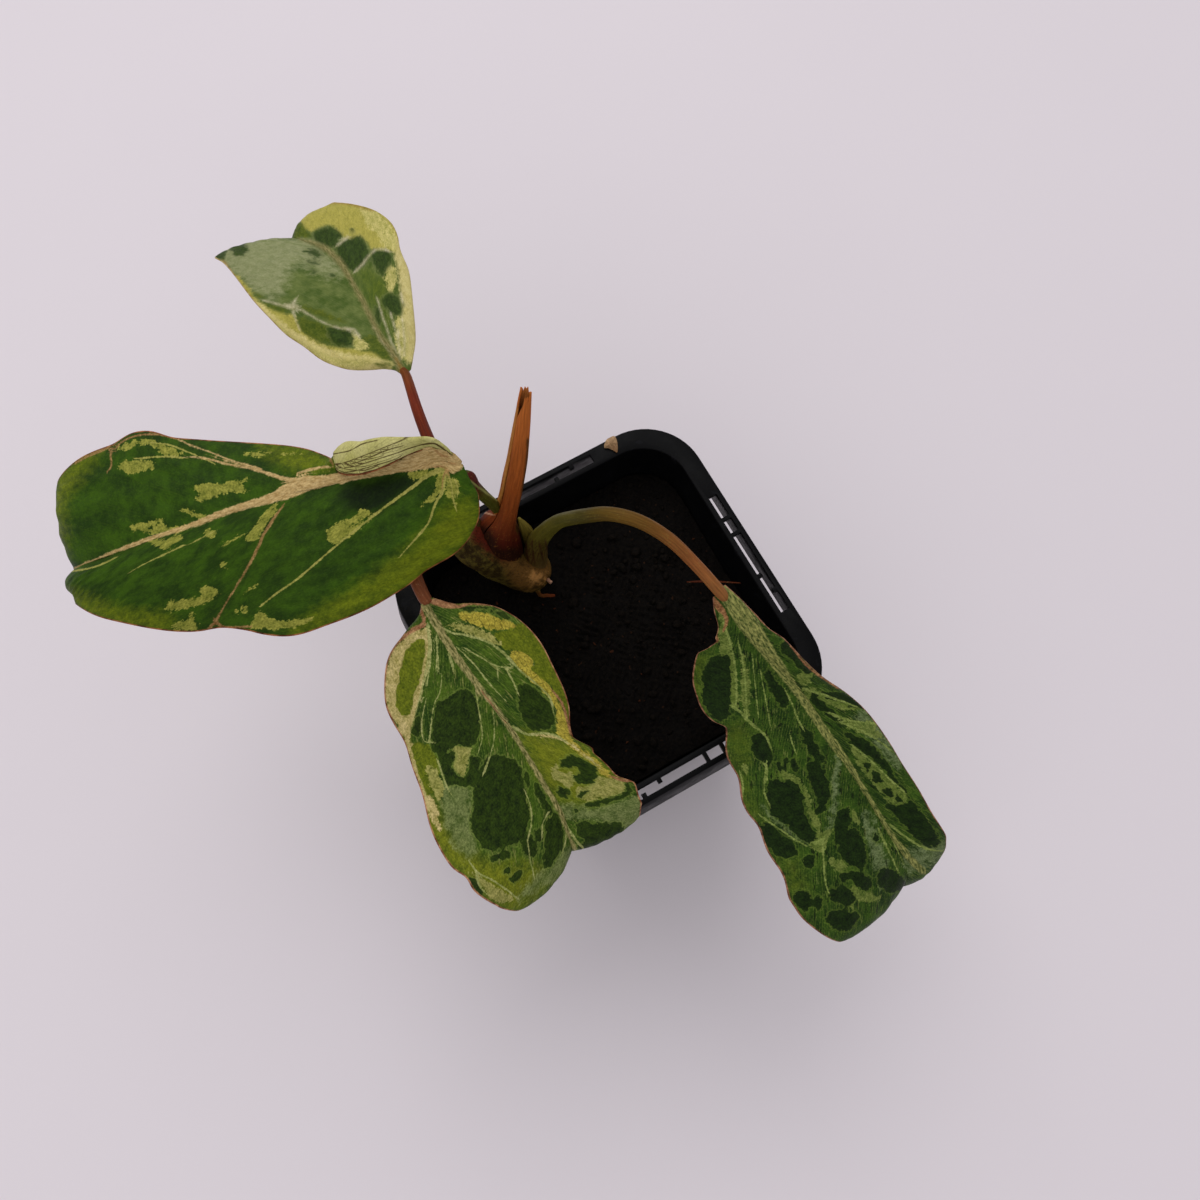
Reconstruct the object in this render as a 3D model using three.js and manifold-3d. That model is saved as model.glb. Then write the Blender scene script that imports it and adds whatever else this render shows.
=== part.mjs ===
// A young marbled philodendron with four leaves, in a square nursery pot.
// Millimetres, +Z up. The origin is the middle of the pot's base, with the pot's sides along X and Y.
// The back leaf points to +Y, the left leaf to -X, and the front and right leaves hang over the -Y side.
import * as THREE from "three";
import { mergeVertices } from "three/addons/utils/BufferGeometryUtils.js";
import Module from "manifold-3d";

const wasm = await Module();
wasm.setup();

// Pot
const rimWidth = 70;
const rimHeight = 70;
const rimCorner = 12.8;
const rimThickness = 1.2;
const wallTopWidth = 64;
const wallCorner = 11;
const wallThickness = 1.2;
const baseWidth = 51;
const baseCorner = 9;
const floorThickness = 1.6;
const collarDepth = 8.3;
const collarThickness = 1.1;
const collarFlare = 0.9;
const slotInner = 32;
const slotOuter = 33.9;
const slotFrom = -15.3;
const slotTo = 13.2;
const slotBars = [
  { at: 3.8, width: 0.8, inner: slotInner, outer: slotOuter },
  { at: 7.6, width: 0.8, inner: slotInner, outer: slotOuter },
  { at: -6.5, width: 0.9, inner: slotInner, outer: 32.9 },
  { at: -10.5, width: 1, inner: 33, outer: slotOuter },
];
const drainHoleRadius = 3;
const drainHolePlace = 14;

// Soil
const soilTop = 60;
const soilLumps = 90;
const soilLumpHeight = 2.2;
const soilLumpReach = 2.2;
const soilLumpReachSpread = 2.6;
const soilSunkShare = 0.45;
const soilStep = 3;

// Gap between neighbouring pieces
const clearance = 0.3;

// Leaves
const bladeThickness = 0.8;
const bladeRows = 27;
const bladeColumns = [0, 0.07, 0.22, 0.42, 0.62, 0.82, 1];
const ribHalfWidth = 0.14;
const ribShareAbove = 0.25;
const ribFade = 0.8;
const waveStretch = 1.15;
const waveShift = 1.7;
const fullCamberWidth = 20;
const creaseLift = 1.3;

// Dry husk
const huskThickness = 0.7;

const upwards = new THREE.Vector3(0, 0, 1);

// A repeatable draw from 0 to 1
let drawState = 20;
function draw() {
  drawState = (drawState * 1103515245 + 12345) % 2147483648;
  return drawState / 2147483648;
}

function solidFrom(geometry) {
  const bare = geometry.index ? geometry.toNonIndexed() : geometry.clone();
  bare.deleteAttribute("normal");
  bare.deleteAttribute("uv");
  const merged = mergeVertices(bare, 1e-4);
  return new wasm.Manifold(
    new wasm.Mesh({
      numProp: 3,
      vertProperties: merged.attributes.position.array,
      triVerts: new Uint32Array(merged.index.array),
    }),
  );
}

function geometryFrom(solid) {
  const mesh = solid.getMesh();
  const geometry = new THREE.BufferGeometry();
  geometry.setAttribute("position", new THREE.BufferAttribute(mesh.vertProperties, 3));
  geometry.setIndex(new THREE.BufferAttribute(mesh.triVerts, 1));
  geometry.computeVertexNormals();
  return geometry;
}

// The largest body of a cut solid, without the scraps that the cut leaves loose
function mainBody(solid) {
  return solid.decompose().sort((a, b) => b.volume() - a.volume())[0];
}

// Closed skin over a stack of rings with the same number of points, anticlockwise seen from the last one
function loft(rings) {
  const points = rings.flat();
  const count = rings[0].length;
  const faces = [];
  for (let r = 0; r + 1 < rings.length; r++) {
    for (let i = 0; i < count; i++) {
      const a = r * count + i;
      const b = r * count + ((i + 1) % count);
      faces.push(a, b, b + count, a, b + count, a + count);
    }
  }
  const last = (rings.length - 1) * count;
  const bottom = points.length;
  points.push(middleOf(rings[0]), middleOf(rings[rings.length - 1]));
  for (let i = 0; i < count; i++) {
    const j = (i + 1) % count;
    faces.push(bottom, j, i, bottom + 1, last + i, last + j);
  }
  const geometry = new THREE.BufferGeometry().setFromPoints(points);
  geometry.setIndex(faces);
  return geometry;
}

function middleOf(ring) {
  const sum = new THREE.Vector3();
  ring.forEach((p) => sum.add(p));
  return sum.divideScalar(ring.length);
}

// Corners of a square with rounded corners, at one height
function roundedRing(width, corner, z) {
  const arcSteps = 6;
  const ring = [];
  const inset = width / 2 - corner;
  for (let quarter = 0; quarter < 4; quarter++) {
    const turn = (quarter * Math.PI) / 2;
    const centre = new THREE.Vector3(inset, inset, z).applyAxisAngle(upwards, turn);
    for (let i = 0; i <= arcSteps; i++) {
      const angle = turn + (i / arcSteps) * (Math.PI / 2);
      const reach = new THREE.Vector3(Math.cos(angle), Math.sin(angle), 0);
      ring.push(centre.clone().addScaledVector(reach, corner));
    }
  }
  return ring;
}

function box(x0, x1, y0, y1, z0, z1) {
  const geometry = new THREE.BoxGeometry(x1 - x0, y1 - y0, z1 - z0);
  geometry.translate((x0 + x1) / 2, (y0 + y1) / 2, (z0 + z1) / 2);
  return geometry;
}

// Pot

function widthOfWall(z) {
  return THREE.MathUtils.lerp(baseWidth, wallTopWidth, z / rimHeight);
}

function cornerOfWall(z) {
  return THREE.MathUtils.lerp(baseCorner, wallCorner, z / rimHeight);
}

// Space inside the pot's wall, drawn in by a gap
function insideOfPot(z0, z1, gap) {
  const inset = wallThickness + gap;
  const rings = [z0, z1].map((z) => roundedRing(widthOfWall(z) - 2 * inset, cornerOfWall(z) - inset, z));
  return solidFrom(loft(rings));
}

function potSolid() {
  const wall = [0, rimHeight].map((z) => roundedRing(widthOfWall(z), cornerOfWall(z), z));
  const skirtFoot = rimHeight - collarDepth;
  const footWidth = rimWidth + 2 * collarFlare;
  const footCorner = rimCorner + collarFlare;
  const skirt = [
    roundedRing(footWidth, footCorner, skirtFoot),
    roundedRing(rimWidth, rimCorner, rimHeight),
  ];
  const skirtInside = [
    roundedRing(footWidth - 2 * collarThickness, footCorner - collarThickness, skirtFoot - 1),
    roundedRing(rimWidth - 2 * collarThickness, rimCorner - collarThickness, rimHeight - rimThickness),
  ];
  let pot = solidFrom(loft(skirt))
    .subtract(solidFrom(loft(skirtInside)))
    .add(solidFrom(loft(wall)))
    .subtract(insideOfPot(floorThickness, rimHeight + 1, 0));
  for (let side = 0; side < 4; side++) {
    pot = pot.subtract(slotOfRim((side * Math.PI) / 2));
  }
  const hole = new THREE.CylinderGeometry(drainHoleRadius, drainHoleRadius, 4 * floorThickness, 16);
  hole.rotateX(Math.PI / 2);
  for (const [x, y] of [[1, 1], [-1, 1], [-1, -1], [1, -1]]) {
    pot = pot.subtract(solidFrom(hole.clone().translate(x * drainHolePlace, y * drainHolePlace, 0)));
  }
  return pot;
}

// The long slot along one side of the rim, with the bars left standing in it
function slotOfRim(turn) {
  const past = 1;
  const low = rimHeight - 2 * rimThickness;
  const high = rimHeight + past;
  let slot = solidFrom(box(slotInner, slotOuter, slotFrom, slotTo, low, high));
  for (const bar of slotBars) {
    const from = bar.at - bar.width / 2;
    const to = bar.at + bar.width / 2;
    const inner = bar.inner === slotInner ? slotInner - past : bar.inner;
    const outer = bar.outer === slotOuter ? slotOuter + past : bar.outer;
    slot = slot.subtract(solidFrom(box(inner, outer, from, to, low - past, high + past)));
  }
  return solidFrom(geometryFrom(slot).rotateZ(turn));
}

// Soil

function lumpsOfSoil() {
  const lumps = [];
  for (let i = 0; i < soilLumps; i++) {
    lumps.push({
      x: (draw() - 0.5) * widthOfWall(soilTop),
      y: (draw() - 0.5) * widthOfWall(soilTop),
      reach: soilLumpReach + soilLumpReachSpread * draw(),
      height: soilLumpHeight * (draw() - soilSunkShare),
    });
  }
  return lumps;
}

function soilHeight(lumps, x, y) {
  let z = soilTop;
  for (const lump of lumps) {
    const near = Math.hypot(x - lump.x, y - lump.y) / lump.reach;
    z += lump.height * Math.exp(-near * near);
  }
  return z;
}

function soilSolid() {
  const lumps = lumpsOfSoil();
  const half = widthOfWall(rimHeight) / 2;
  const steps = Math.round((2 * half) / soilStep);
  const block = new THREE.BoxGeometry(2 * half, 2 * half, 1, steps, steps, 1);
  const place = block.attributes.position;
  for (let i = 0; i < place.count; i++) {
    const top = place.getZ(i) > 0;
    place.setZ(i, top ? soilHeight(lumps, place.getX(i), place.getY(i)) : 0);
  }
  const inside = insideOfPot(floorThickness + clearance, rimHeight, clearance);
  return solidFrom(block).intersect(inside);
}

// Stems and stalks

function curveThrough(points) {
  const corners = points.map(([x, y, z]) => new THREE.Vector3(x, y, z));
  return new THREE.CatmullRomCurve3(corners, false, "catmullrom", 0.5);
}

// Value at t, from 0 to 1, along a list of evenly spaced values
function along(values, t) {
  const place = t * (values.length - 1);
  const i = Math.min(Math.floor(place), values.length - 2);
  return THREE.MathUtils.lerp(values[i], values[i + 1], place - i);
}

// A round stalk along a curve. radii are spread evenly along it, rough makes it lumpy, and grow adds
// to its radii and to both ends.
function stalkSolid({ path, radii, sides, steps, rough = 0 }, grow = 0) {
  const swellings = 4.75;
  const flutes = 3;
  const twist = 11;
  const curve = curveThrough(path);
  const frames = curve.computeFrenetFrames(steps, false);
  const rings = [];
  for (let s = 0; s <= steps; s++) {
    const t = s / steps;
    const end = s === 0 ? -1 : s === steps ? 1 : 0;
    const centre = curve.getPointAt(t).addScaledVector(frames.tangents[s], end * grow);
    const ring = [];
    for (let i = 0; i < sides; i++) {
      const angle = (i / sides) * 2 * Math.PI;
      const swell = Math.sin(2 * Math.PI * swellings * t) + Math.sin(flutes * angle + twist * t);
      const radius = along(radii, t) * (1 + rough * swell) + grow;
      ring.push(
        centre
          .clone()
          .addScaledVector(frames.normals[s], radius * Math.cos(angle))
          .addScaledVector(frames.binormals[s], radius * Math.sin(angle)),
      );
    }
    rings.push(ring);
  }
  return solidFrom(loft(rings));
}

// The thick cane: rooted and upright in the soil, then leaning out over the rim
const cane = {
  path: [
    [-6.8, 19.3, 48],
    [-6.8, 19.3, 57],
    [-7.3, 19.6, 63],
    [-9, 21.6, 69],
    [-11.8, 24.6, 75],
    [-14.3, 28, 82.5],
  ],
  radii: [5, 5.6, 5.8, 5.6, 5.2, 4.6, 3.9, 2.6],
  sides: 14,
  steps: 18,
  rough: 0.03,
};
const caneRoots = [
  { path: [[-5, 16.5, 59], [-3.4, 14.4, 62], [-2.4, 13, 61.4], [-1.8, 12.2, 58]], radii: [1.2, 1, 0.8] },
  { path: [[-8, 16, 59], [-7.6, 13.4, 61.8], [-7, 11.6, 61.2], [-6.6, 10.8, 58]], radii: [1.2, 0.9, 0.7] },
];

function rootSolid(root, grow = 0) {
  return stalkSolid({ ...root, sides: 8, steps: 8 }, grow);
}

function caneSolid(grow = 0) {
  return caneRoots.reduce((cut, root) => cut.add(rootSolid(root, grow)), stalkSolid(cane, grow));
}

// The dry sheath left by a fallen leaf: it clasps the cane and tapers up to a torn tip
const sheath = {
  path: [
    [-12.5, 23.5, 71],
    [-10.4, 24.8, 76],
    [-8.4, 25.6, 82],
    [-5.9, 26.4, 90],
    [-3.1, 27.7, 100],
    [-0.8, 29, 109],
    [1.2, 30, 118],
  ],
  radii: [6.2, 5.4, 3.1, 2.2, 2, 1.9, 1.8, 1.45, 1.05],
  sides: 12,
  steps: 20,
};

// The short green scale in the angle between the sheath and the right stalk
const scale = {
  path: [[-8, 22.4, 71], [-5.4, 22.8, 75], [-4.6, 23.2, 78.5], [-4.6, 23.4, 81]],
  radii: [1.8, 1.9, 1.3, 0.4],
  sides: 8,
  steps: 8,
};

const petioles = {
  petiole_back: {
    path: [
      [-14, 27.5, 80.5],
      [-14.7, 32, 86],
      [-15, 37.5, 90],
      [-14.5, 43.5, 91.2],
      [-13.6, 50, 90.6],
      [-12, 58.5, 89.1],
    ],
    radii: [1.5, 1.4, 1.25, 1.1, 1],
    colour: 0x7a4a3c,
  },
  petiole_left: {
    path: [
      [-10.4, 26.4, 74],
      [-10.8, 29, 79],
      [-11, 29, 84],
      [-10.9, 27.4, 91],
      [-11.3, 26.2, 98],
      [-12, 25.5, 105],
      [-12.9, 25, 112],
    ],
    radii: [1.6, 1.5, 1.4, 1.3, 1.5],
    colour: 0x6d7340,
  },
  petiole_front: {
    path: [
      [-15, 26, 84],
      [-19.5, 25, 92],
      [-25, 23, 99],
      [-28.3, 19.5, 102],
      [-29.2, 16, 102.2],
      [-29.5, 12.7, 101.2],
    ],
    radii: [1.6, 1.5, 1.4, 1.3, 1.3],
    colour: 0x94665a,
  },
  petiole_right: {
    path: [
      [-9, 21, 71],
      [-5, 21, 75.5],
      [-3, 19, 85],
      [-1, 14.5, 97],
      [1.5, 10.5, 105],
      [4.5, 7, 110],
      [8, 3, 111],
      [11.3, -1.5, 108.5],
      [13.8, -6.5, 104.5],
      [15.9, -11.6, 100.3],
    ],
    radii: [2.2, 1.8, 1.6, 1.35, 1.25, 1.2, 1.2],
    colour: 0x7f8040,
  },
};

// Blades
// Each row of stations lies across the blade: left margin, midrib and right margin, as seen from
// the stalk towards the tip. The last rows are the tip, which hangs down past the bend.

const blades = {
  blade_back: {
    stations: [
      [[-12.5, 61, 88.5], [-12, 59, 89], [-10.5, 60, 88.5]],
      [[-15, 63, 88], [-12, 61, 89], [-8, 64, 88]],
      [[-22, 68, 87], [-12.5, 66, 89], [-4, 72.5, 88]],
      [[-27.5, 78, 86], [-12.5, 73.5, 88.5], [-0.5, 85, 87]],
      [[-30.5, 84, 85.5], [-12, 79, 88], [1.5, 91, 86]],
      [[-31.5, 89.5, 85], [-12, 84, 87], [1, 97, 85]],
      [[-32, 96, 84], [-13, 90.5, 85.5], [-1.5, 102, 84]],
      [[-32.5, 102, 83], [-14.5, 97.5, 83.5], [-6, 106, 82.5]],
      [[-34, 108.5, 80.5], [-17.5, 104, 81], [-12, 108.5, 80]],
      [[-29, 110, 75], [-19, 106, 74.5], [-14.5, 107.5, 75]],
      [[-22.5, 106, 69], [-20, 105, 68.5], [-18.5, 105.5, 69]],
      [[-21.6, 102.8, 65], [-21, 102.6, 64.8], [-20.4, 102.8, 65]],
    ],
    camber: [1.6, 1.2],
    wave: 0.7,
    waves: 3,
    ribDepth: 0.7,
  },
  blade_left: {
    stations: [
      [[-13.5, 23.5, 112.5], [-13.5, 25.5, 113.5], [-14, 27, 114.5]],
      [[-13.5, 20, 110], [-14.5, 26, 114], [-15, 28, 116]],
      [[-16, 17.5, 107.5], [-15.5, 27.5, 114], [-17, 29.5, 117]],
      [[-22, 15.5, 106.5], [-17.5, 28.5, 114], [-21, 30, 117.5]],
      [[-30.5, 14.5, 106.5], [-21, 29, 114], [-25, 30, 117.2]],
      [[-39, 14, 105], [-25, 30.5, 113.5], [-29, 31, 116.5]],
      [[-48.5, 15.5, 104], [-30.5, 32, 113.5], [-32, 33.5, 115.8]],
      [[-56.5, 19.5, 103.5], [-36, 34, 113], [-32.5, 38.5, 113]],
      [[-62, 24, 103], [-42, 36, 112], [-37.5, 44.5, 110.5]],
      [[-71, 29, 102], [-51.5, 38.5, 110], [-48.3, 52.8, 108]],
      [[-78.5, 35.5, 101], [-61, 41.5, 107.5], [-56.8, 60.3, 107]],
      [[-82.5, 41.5, 99.5], [-71, 44, 104.5], [-66.2, 62.8, 105.5]],
      [[-83.2, 44, 98], [-77.5, 46.5, 101.5], [-75.8, 63.2, 102]],
      [[-84, 46.6, 94], [-81.2, 48.8, 97.5], [-79.6, 60.6, 98]],
      [[-83.2, 49, 88.5], [-81.8, 51.2, 91], [-80, 58, 91.5]],
      [[-82, 51.5, 83], [-81.5, 53, 83.5], [-80, 56, 83.5]],
      [[-79.2, 53.5, 78.8], [-79, 54, 79], [-78.8, 54.6, 78.8]],
    ],
    // Where the right basal lobe doubles back over the midrib, its crease passes through these points
    crease: [
      null,
      [-14.8, 28.4, 116.6],
      [-16.2, 30, 118.4],
      [-18.8, 32, 119.4],
      [-22.2, 34, 119.4],
      [-26, 35.4, 118.8],
      [-29.6, 37, 117.2],
    ],
    camber: [2.6, 1.4],
    wave: 0.4,
    waves: 3.5,
    ribDepth: 1.1,
  },
  blade_front: {
    stations: [
      [[-28.2, 11.4, 101], [-29.4, 12.2, 101.2], [-30.3, 11.4, 100.8]],
      [[-25.3, 8.8, 100.2], [-29.5, 10.5, 100.8], [-32.5, 9.8, 99.8]],
      [[-21.4, 7.2, 98.8], [-29.5, 9, 100.5], [-36, 8.8, 98.5]],
      [[-18.2, 3.8, 97.3], [-29.3, 6.5, 100], [-40, 7, 97]],
      [[-16, -0.8, 95.5], [-29.2, 4, 99.3], [-43, 3, 95.5]],
      [[-15.2, -6.5, 93.5], [-28.8, 0.5, 98.3], [-44.8, -2.5, 94]],
      [[-15.8, -12, 92], [-28.5, -4, 97], [-44.8, -8, 92.5]],
      [[-17.6, -17.5, 90.5], [-28.2, -8.5, 95.5], [-45.6, -12.5, 91.5]],
      [[-16.2, -22.5, 89], [-27.3, -12.5, 93.5], [-47.2, -18.5, 90.5]],
      [[-14.3, -28, 87.5], [-26.8, -17.5, 91.5], [-48.2, -25, 89.5]],
      [[-12.5, -31, 86.5], [-26.2, -22.5, 89.5], [-47.2, -30.8, 88]],
      [[-12.5, -34, 85.5], [-25.8, -27, 87.5], [-45.6, -35.8, 86]],
      [[-13.4, -36, 84.5], [-26.3, -31.5, 85], [-43.6, -39, 83]],
      [[-14.8, -37.2, 82], [-27.8, -36, 81.5], [-40.5, -40.8, 80]],
      [[-18, -35.5, 78], [-28, -35, 77], [-36.5, -37.8, 76.5]],
      [[-22.5, -32, 75], [-27.5, -31.5, 74.2], [-32, -32, 74.5]],
      [[-27.8, -27.5, 74], [-28.3, -27.3, 73.8], [-28.8, -27.5, 74]],
    ],
    camber: [1.6, 2],
    wave: 0.5,
    waves: 4,
    ribDepth: 0.9,
  },
  blade_right: {
    stations: [
      [[17.3, -11.2, 99.8], [16, -12, 100], [14.6, -12, 99.4]],
      [[18.6, -14, 98.8], [16.4, -14, 99], [14, -13.8, 97.4]],
      [[20, -17, 97], [16.8, -17, 97.5], [13.4, -16.6, 95]],
      [[21.2, -20.4, 95], [17.5, -20, 95.5], [11.2, -18, 92]],
      [[23, -23.5, 92.5], [18.5, -23, 93], [8, -18.8, 89.5]],
      [[25, -28, 89], [20, -26, 90.5], [5.8, -21.4, 87]],
      [[27.8, -33, 85.5], [21.5, -29.5, 88], [5, -25, 85.5]],
      [[31, -37.5, 82], [23, -33.5, 85], [6, -29.5, 83.5]],
      [[33.4, -42.4, 79], [24, -38, 82], [7.4, -32.4, 82]],
      [[34.6, -48, 76], [24.4, -43, 79], [5.6, -36.4, 80]],
      [[35.6, -53, 73.5], [25, -47.8, 76], [4.6, -43, 77]],
      [[36.2, -58.6, 71], [25.8, -52.6, 73], [5, -49, 74]],
      [[36.8, -63.6, 68.5], [26.5, -57.6, 70], [5.2, -55.6, 71.5]],
      [[37.2, -68, 65.5], [27.2, -63, 67], [4.2, -62, 69]],
      [[36.6, -71, 62], [28, -68, 63.5], [4.6, -68.4, 66]],
      [[34, -72.6, 58], [27.5, -72.4, 58.5], [9.2, -75.6, 60.5]],
      [[31.5, -72.4, 52], [26, -73, 51], [15, -74.6, 52.5]],
      [[28, -70.5, 46], [24.5, -71, 45], [20, -71.6, 46]],
      [[24.6, -67.4, 41], [24, -67.4, 40.8], [23.4, -67.6, 41]],
    ],
    camber: [1.4, 1.8],
    wave: 0.7,
    waves: 5,
    ribDepth: 0.9,
  },
};

// The two handles that bow one half of a row between the midrib and its margin
function bowedHandles(rib, margin, upNormal, camber) {
  const reach = margin.clone().sub(rib);
  return [1 / 3, 2 / 3].map((part) =>
    rib.clone().addScaledVector(reach, part).addScaledVector(upNormal, camber),
  );
}

// Handles of a half that doubles back: out low, through the crease and home above the midrib
function foldedHandles(rib, margin, crease) {
  const middle = crease.clone().multiplyScalar(8).sub(rib).sub(margin).divideScalar(6);
  return [-creaseLift, creaseLift].map((lift) => middle.clone().addScaledVector(upwards, lift));
}

// Seven curves along the blade: left margin, two handles, midrib, two handles, right margin
function bladeCurves({ stations, crease = [], camber }) {
  const rows = stations.map((row) => row.map(([x, y, z]) => new THREE.Vector3(x, y, z)));
  const lines = rows.map(([left, rib, right], i) => {
    const before = rows[Math.max(i - 1, 0)][1];
    const after = rows[Math.min(i + 1, rows.length - 1)][1];
    const forward = after.clone().sub(before);
    const across = left.clone().sub(right);
    const upNormal = forward.cross(across).normalize();
    const share = Math.min(1, across.length() / fullCamberWidth);
    const [leftIn, leftOut] = bowedHandles(rib, left, upNormal, camber[0] * share);
    let [rightIn, rightOut] = bowedHandles(rib, right, upNormal, camber[1] * share);
    if (crease[i]) {
      [rightIn, rightOut] = foldedHandles(rib, right, new THREE.Vector3(...crease[i]));
    }
    return [left, leftOut, leftIn, rib, rightIn, rightOut, right];
  });
  return lines[0].map((_, k) => {
    const corners = lines.map((line) => line[k]);
    return new THREE.CatmullRomCurve3(corners, false, "catmullrom", 0.5);
  });
}

// Point of the blade's middle surface: u runs from stalk to tip, v from -1 (left) over 0 to 1 (right)
function bladePoint(curves, spec, u, v) {
  const order = v < 0 ? [3, 2, 1, 0] : [3, 4, 5, 6];
  const half = new THREE.CubicBezierCurve3(...order.map((k) => curves[k].getPoint(u)));
  const point = half.getPoint(Math.abs(v));
  const shift = v < 0 ? 0 : waveShift;
  const taper = Math.sin(Math.PI * Math.min(1, u * waveStretch)) ** 2;
  point.z += spec.wave * v * v * taper * Math.sin(2 * Math.PI * spec.waves * u + shift);
  return point;
}

function bladeNormal(curves, spec, u, v) {
  const du = 0.004;
  const dv = 0.02;
  const u0 = Math.max(0, u - du);
  const u1 = Math.min(1, u + du);
  const v0 = Math.max(-1, v - dv);
  const v1 = Math.min(1, v + dv);
  const forward = bladePoint(curves, spec, u1, v).sub(bladePoint(curves, spec, u0, v));
  const across = bladePoint(curves, spec, u, v0).sub(bladePoint(curves, spec, u, v1));
  return forward.cross(across).normalize();
}

function bladeSolid(spec) {
  const curves = bladeCurves(spec);
  const columns = [...bladeColumns.slice(1).reverse().map((v) => -v), ...bladeColumns];
  const wide = columns.length;
  const top = [];
  const bottom = [];
  for (let r = 0; r < bladeRows; r++) {
    const u = r / (bladeRows - 1);
    for (const v of columns) {
      const point = bladePoint(curves, spec, u, v);
      const normal = bladeNormal(curves, spec, u, v);
      const rib = spec.ribDepth * (1 - ribFade * u) * Math.max(0, 1 - Math.abs(v) / ribHalfWidth);
      const above = bladeThickness / 2 + ribShareAbove * rib;
      const below = bladeThickness / 2 + (1 - ribShareAbove) * rib;
      top.push(point.clone().addScaledVector(normal, above));
      bottom.push(point.clone().addScaledVector(normal, -below));
    }
  }
  const under = top.length;
  const faces = [];
  for (let r = 0; r + 1 < bladeRows; r++) {
    for (let c = 0; c + 1 < wide; c++) {
      const a = r * wide + c;
      const d = a + wide;
      faces.push(a, a + 1, d, a + 1, d + 1, d);
      faces.push(under + a, under + d, under + a + 1, under + a + 1, under + d, under + d + 1);
    }
  }
  const rim = rimOfGrid(bladeRows, wide);
  rim.forEach((a, i) => {
    const b = rim[(i + 1) % rim.length];
    faces.push(a, under + a, under + b, a, under + b, b);
  });
  const geometry = new THREE.BufferGeometry().setFromPoints([...top, ...bottom]);
  geometry.setIndex(faces);
  return solidFrom(geometry);
}

// Indices round the edge of a grid, in the order that its upper faces turn
function rimOfGrid(rows, wide) {
  const rim = [];
  for (let c = 0; c < wide - 1; c++) rim.push(c);
  for (let r = 0; r < rows - 1; r++) rim.push(r * wide + wide - 1);
  for (let c = wide - 1; c > 0; c--) rim.push((rows - 1) * wide + c);
  for (let r = rows - 1; r > 0; r--) rim.push(r * wide);
  return rim;
}

// A dry bract fragment that lies on the rim's back edge
function huskSolid() {
  const outline = new THREE.Shape();
  outline.moveTo(18.6, 33.6);
  outline.quadraticCurveTo(20, 35.4, 21.8, 34.8);
  outline.quadraticCurveTo(21.6, 32.8, 20.4, 31.4);
  outline.quadraticCurveTo(19.6, 32.8, 18.6, 33.6);
  const husk = new THREE.ExtrudeGeometry(outline, { depth: huskThickness, bevelEnabled: false, curveSegments: 5 });
  husk.translate(0, 0, rimHeight + clearance);
  return solidFrom(husk);
}

const plant = new THREE.Group();

function addPiece(name, solid, colour, roughness) {
  const material = new THREE.MeshStandardMaterial({ color: colour, roughness, metalness: 0 });
  const mesh = new THREE.Mesh(geometryFrom(solid), material);
  mesh.name = name;
  plant.add(mesh);
}

const caneHollow = caneSolid(clearance);
const sheathSolid = mainBody(stalkSolid(sheath).subtract(caneHollow));
const sheathHollow = stalkSolid(sheath, clearance);

addPiece("pot", potSolid(), 0x0d0e11, 0.35);
addPiece("soil", soilSolid().subtract(caneHollow), 0x17120e, 0.95);
addPiece("cane", caneSolid(), 0x6b6130, 0.6);
addPiece("old_sheath", sheathSolid, 0x9a5230, 0.7);

const scaleSolid = mainBody(stalkSolid(scale).subtract(caneHollow).subtract(sheathHollow));
addPiece("bud_scale", scaleSolid, 0x7c8040, 0.6);
const scaleHollow = stalkSolid(scale, clearance);

for (const [name, petiole] of Object.entries(petioles)) {
  const stalk = stalkSolid({ ...petiole, sides: 10, steps: 22 })
    .subtract(caneHollow)
    .subtract(sheathHollow)
    .subtract(scaleHollow);
  addPiece(name, mainBody(stalk), petiole.colour, 0.5);
}

for (const [name, blade] of Object.entries(blades)) {
  addPiece(name, bladeSolid(blade), 0x3d6b1f, 0.4);
}

addPiece("dry_husk", huskSolid(), 0x9c8468, 0.9);

export default plant;
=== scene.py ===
# Looks of a young marbled philodendron in a square nursery pot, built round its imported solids.
# Lengths are in millimetres until a mesh is made, and marks on the leaves are in picture pixels.
import math

import bpy
import numpy as np
from mathutils import Matrix, Vector


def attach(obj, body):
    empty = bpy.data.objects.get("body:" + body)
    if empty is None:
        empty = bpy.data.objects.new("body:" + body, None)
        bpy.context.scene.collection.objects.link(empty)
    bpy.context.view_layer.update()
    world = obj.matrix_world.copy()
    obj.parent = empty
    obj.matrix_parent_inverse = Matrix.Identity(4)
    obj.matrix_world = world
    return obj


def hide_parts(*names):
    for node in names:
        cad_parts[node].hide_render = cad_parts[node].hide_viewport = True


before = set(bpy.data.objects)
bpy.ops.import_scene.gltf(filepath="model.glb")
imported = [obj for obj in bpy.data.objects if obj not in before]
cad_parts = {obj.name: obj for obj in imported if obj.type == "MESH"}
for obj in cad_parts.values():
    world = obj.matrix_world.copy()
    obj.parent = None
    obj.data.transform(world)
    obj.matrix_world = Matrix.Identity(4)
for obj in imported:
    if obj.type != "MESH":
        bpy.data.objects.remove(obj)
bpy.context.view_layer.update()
print("packed solids loaded:", len(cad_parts))

mm = 0.001

# The photograph was taken from here; its width and height are both view["picture"] pixels
view = {
    "place": (-30.16, -50.85, 285.95),
    "right": (0.8707, -0.4918, 0.0),
    "up": (0.4714, 0.8346, 0.2846),
    "lens": 33.3,
    "sensor": 36.0,
    "picture": 1200,
}


def seenAt(places):
    # picture coordinates of places on the plant
    offset = np.asarray(places, float) - view["place"]
    right = np.array(view["right"])
    up = np.array(view["up"])
    distance = offset @ np.cross(up, right)
    scale = view["picture"] * view["lens"] / view["sensor"] / distance
    half = view["picture"] / 2
    return np.stack([half + scale * (offset @ right), half - scale * (offset @ up)], -1)


# Curves and distances

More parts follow.
